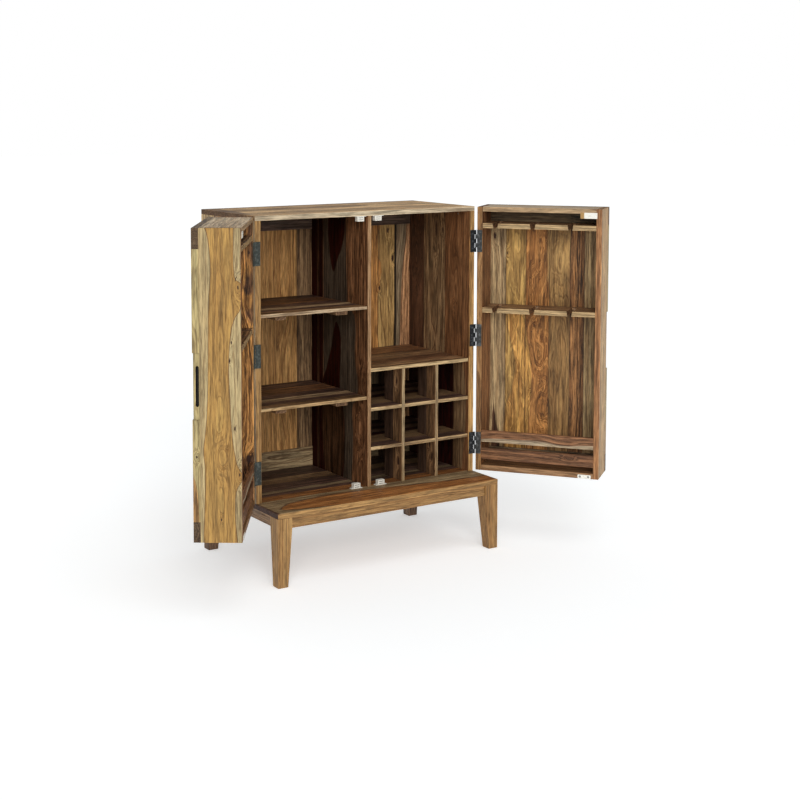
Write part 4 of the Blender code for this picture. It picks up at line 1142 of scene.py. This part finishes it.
STRIP_REACH = 0.0095
STRIP_GAP = 0.0036
STRIP_HALF = 0.0009
STRIP_PROUD = 0.0006
FLANGE_SCREW = 0.0178
FLANGE_THICKNESS = 0.0016
FLANGE_SCREW_RADIUS = 0.0030
SIDE_SCREW_PLACE = (0.4225, 0.0651, 1.2060)
SIDE_SCREW_RADIUS = 0.0035
for place in CATCHES:
    low, high = (Vector(corner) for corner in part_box(f"catch_{place}"))
    middle = (low + high) / 2
    facing = -1 if place.startswith("top") else 1
    flange = high.z if facing < 0 else low.z
    face = flange + facing * FLANGE_THICKNESS
    strip_mesh = bmesh.new()
    screw_mesh = bmesh.new()
    for way in (-1, 1):
        height = middle.z + way * STRIP_GAP
        add_bar(strip_mesh, (middle.x - STRIP_REACH, low.y - STRIP_PROUD, height - STRIP_HALF),
                (middle.x + STRIP_REACH, low.y + STRIP_PROUD * 2, height + STRIP_HALF), STRIP_HALF * 0.3)
        add_screw(screw_mesh, (middle.x + way * FLANGE_SCREW, middle.y, face), (0, 0, facing),
                  FLANGE_SCREW_RADIUS, SCREW_RISE, way)
    finish_piece(f"catch_{place}_strips", strip_mesh, GREY_STEEL, "cabinet")
    finish_piece(f"catch_{place}_screws", screw_mesh, BRIGHT_STEEL, "cabinet")
mesh = bmesh.new()
add_screw(mesh, SIDE_SCREW_PLACE, (-1, 0, 0), SIDE_SCREW_RADIUS, SCREW_RISE, SIDE_SCREW_TURN)
finish_piece("case_side_right_screw", mesh, BRIGHT_STEEL, "cabinet")
print("catches have strips and screws")

# %% [markdown]
# Steel plates on the doors meet the catches' magnets. The lower one is white and held by two screws on the
# edge of the door's bottom board. The upper one hangs over the edge of the top board and carries a bare white
# card. Both are thin sheet with rounded corners, cut from one outline that is drawn up and then drawn in.


# %% Strike plates
def add_plate(side, name, material, first, last, back, rise, corner):
    """Adds a thin plate on a door, between two corners of its outline, from a depth and by its thickness."""
    mesh = bmesh.new()
    middle = [(low + high) / 2 for low, high in zip(first, last)]
    half = [(high - low) / 2 - corner for low, high in zip(first, last)]
    loops = []
    for depth, inset in ((0.0, 0.0), (rise * 0.7, 0.0), (rise, rise * 0.3)):
        loop = []
        for quarter, (across, up) in enumerate(((1, 1), (-1, 1), (-1, -1), (1, -1))):
            for step in range(4):
                angle = math.radians(90 * quarter + 30 * step)
                out_at = middle[0] + across * half[0] + (corner - inset) * math.cos(angle)
                up_at = middle[1] + up * half[1] + (corner - inset) * math.sin(angle)
                loop.append(mesh.verts.new(on_door(side, out_at, back + depth, up_at)))
        loops.append(loop)
    skin(mesh, loops)
    finish_piece(f"{side}_strike_plate_{name}", mesh, material, f"{side}_door")


PLATE_RISE = 0.0014
CARD_RISE = 0.0003
PLATE_SCREWS_OUT = (0.389, 0.419)
PLATE_SCREWS_UP = 0.264
PLATE_SCREW_RADIUS = 0.0042
for side in ("left", "right"):
    add_plate(side, "lower", WHITE_ENAMEL, (0.380, 0.2572), (0.428, 0.2708),
              0.0, PLATE_RISE, 0.003)
    mesh = bmesh.new()
    for out_at in PLATE_SCREWS_OUT:
        add_screw(mesh, on_door(side, out_at, PLATE_RISE, PLATE_SCREWS_UP), inwards(side), PLATE_SCREW_RADIUS,
                  SCREW_RISE, out_at)
    finish_piece(f"{side}_strike_plate_screws", mesh, BRIGHT_STEEL, f"{side}_door")
    add_plate(side, "upper", TAN_STEEL, (0.378, 1.2000), (0.439, 1.2220), 0.0, PLATE_RISE, 0.002)
    add_plate(side, "card", WHITE_ENAMEL, (0.392, 1.2005), (0.4385, 1.2215),
              PLATE_RISE, CARD_RISE, 0.001)
print("four strike plates")

# %% [markdown]
# Two battens carry each shelf. They are flat sticks with eased edges that run under the shelf from front to
# back, and their front ends show as small blocks below its edge.

# %% Shelf battens
BATTENS = (("left", -0.385, -0.343, 421.0), ("right", -0.143, -0.096, 426.0))
BATTEN_THICKNESS = 0.0135
BATTEN_SETBACK = 0.008
BATTEN_EASE = 0.002
BATTEN_GAP = 0.0003
for row in ("upper", "lower"):
    low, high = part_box(f"shelf_{row}")
    under = low[2] - BATTEN_GAP
    for hand, start, stop, seed in BATTENS:
        mesh = bmesh.new()
        add_bar(mesh, (start, low[1] + BATTEN_SETBACK, under - BATTEN_THICKNESS),
                (stop, high[1] - BATTEN_SETBACK, under), BATTEN_EASE)
        name = f"shelf_{row}_batten_{hand}"
        boards[name] = finish_piece(name, mesh, WHITE_PLASTIC, "cabinet")
        dress(name, "xzy", "pink", seed, contrast=0.35)
print("four battens")

# %% [markdown]
# The floor is a wide pale sheet that glows a little, so that it stays white away from the cabinet and still
# takes its soft shadow. The white room shows at full strength to the camera and lights the wood at less than
# half of it. One large soft lamp stands near the camera's left shoulder and lights the insides, and a second
# one hangs high in front. Both are suns with a wide disc, which light the whole floor evenly.

# %% Floor and light
FLOOR_HALF = 40.0
ROOM_LIGHT = 0.42
LAMP_DISTANCE = 4.0

floor_mesh = bpy.data.meshes.new("studio_floor")
corners = ((-1, -1), (1, -1), (1, 1), (-1, 1))
floor_mesh.from_pydata([(x * FLOOR_HALF, y * FLOOR_HALF, 0) for x, y in corners], [], [(0, 1, 2, 3)])
floor = put_in_scene("studio_floor", floor_mesh)
floor_paper, _, paper = new_material("floor_paper")
for title, value in {
    "Base Color": (0.95, 0.98, 0.995, 1),
    "Roughness": 0.9,
    "Specular IOR Level": 0.0,
    "Emission Color": (1, 1, 1, 1),
    "Emission Strength": 0.355,
}.items():
    paper[title].default_value = value
floor_mesh.materials.append(floor_paper)

room = bpy.data.worlds.new("white_room")
bpy.context.scene.world = room
room.use_nodes = True
rays = add_node("ShaderNodeLightPath", tree=room.node_tree).outputs["Is Camera Ray"]
walls = room.node_tree.nodes["Background"].inputs
walls["Color"].default_value = (1.0, 1.0, 1.0, 1)
connect(blend(rays, ROOM_LIGHT, 1.0, "FLOAT"), walls["Strength"])
bpy.context.scene.view_settings.view_transform = "Standard"


def soft_lamp(name, turn, rise, spread, share):
    """A far, wide lamp. Share is the light it gives a surface that faces it, and spread is its width."""
    data = bpy.data.lights.new(name, "SUN")
    data.energy = share * math.pi
    data.angle = math.radians(spread)
    lamp = put_in_scene(name, data)
    turn, rise = math.radians(turn), math.radians(rise)
    way = Vector((math.sin(turn) * math.cos(rise), -math.cos(turn) * math.cos(rise), math.sin(rise)))
    lamp.location = LAMP_DISTANCE * way
    lamp.rotation_euler = (-way).to_track_quat("-Z", "Y").to_euler()


soft_lamp("key_lamp", -28.0, 20.0, 32.0, 0.48)
soft_lamp("top_lamp", -10.0, 60.0, 42.0, 0.15)
print("lamps and floor are in place")
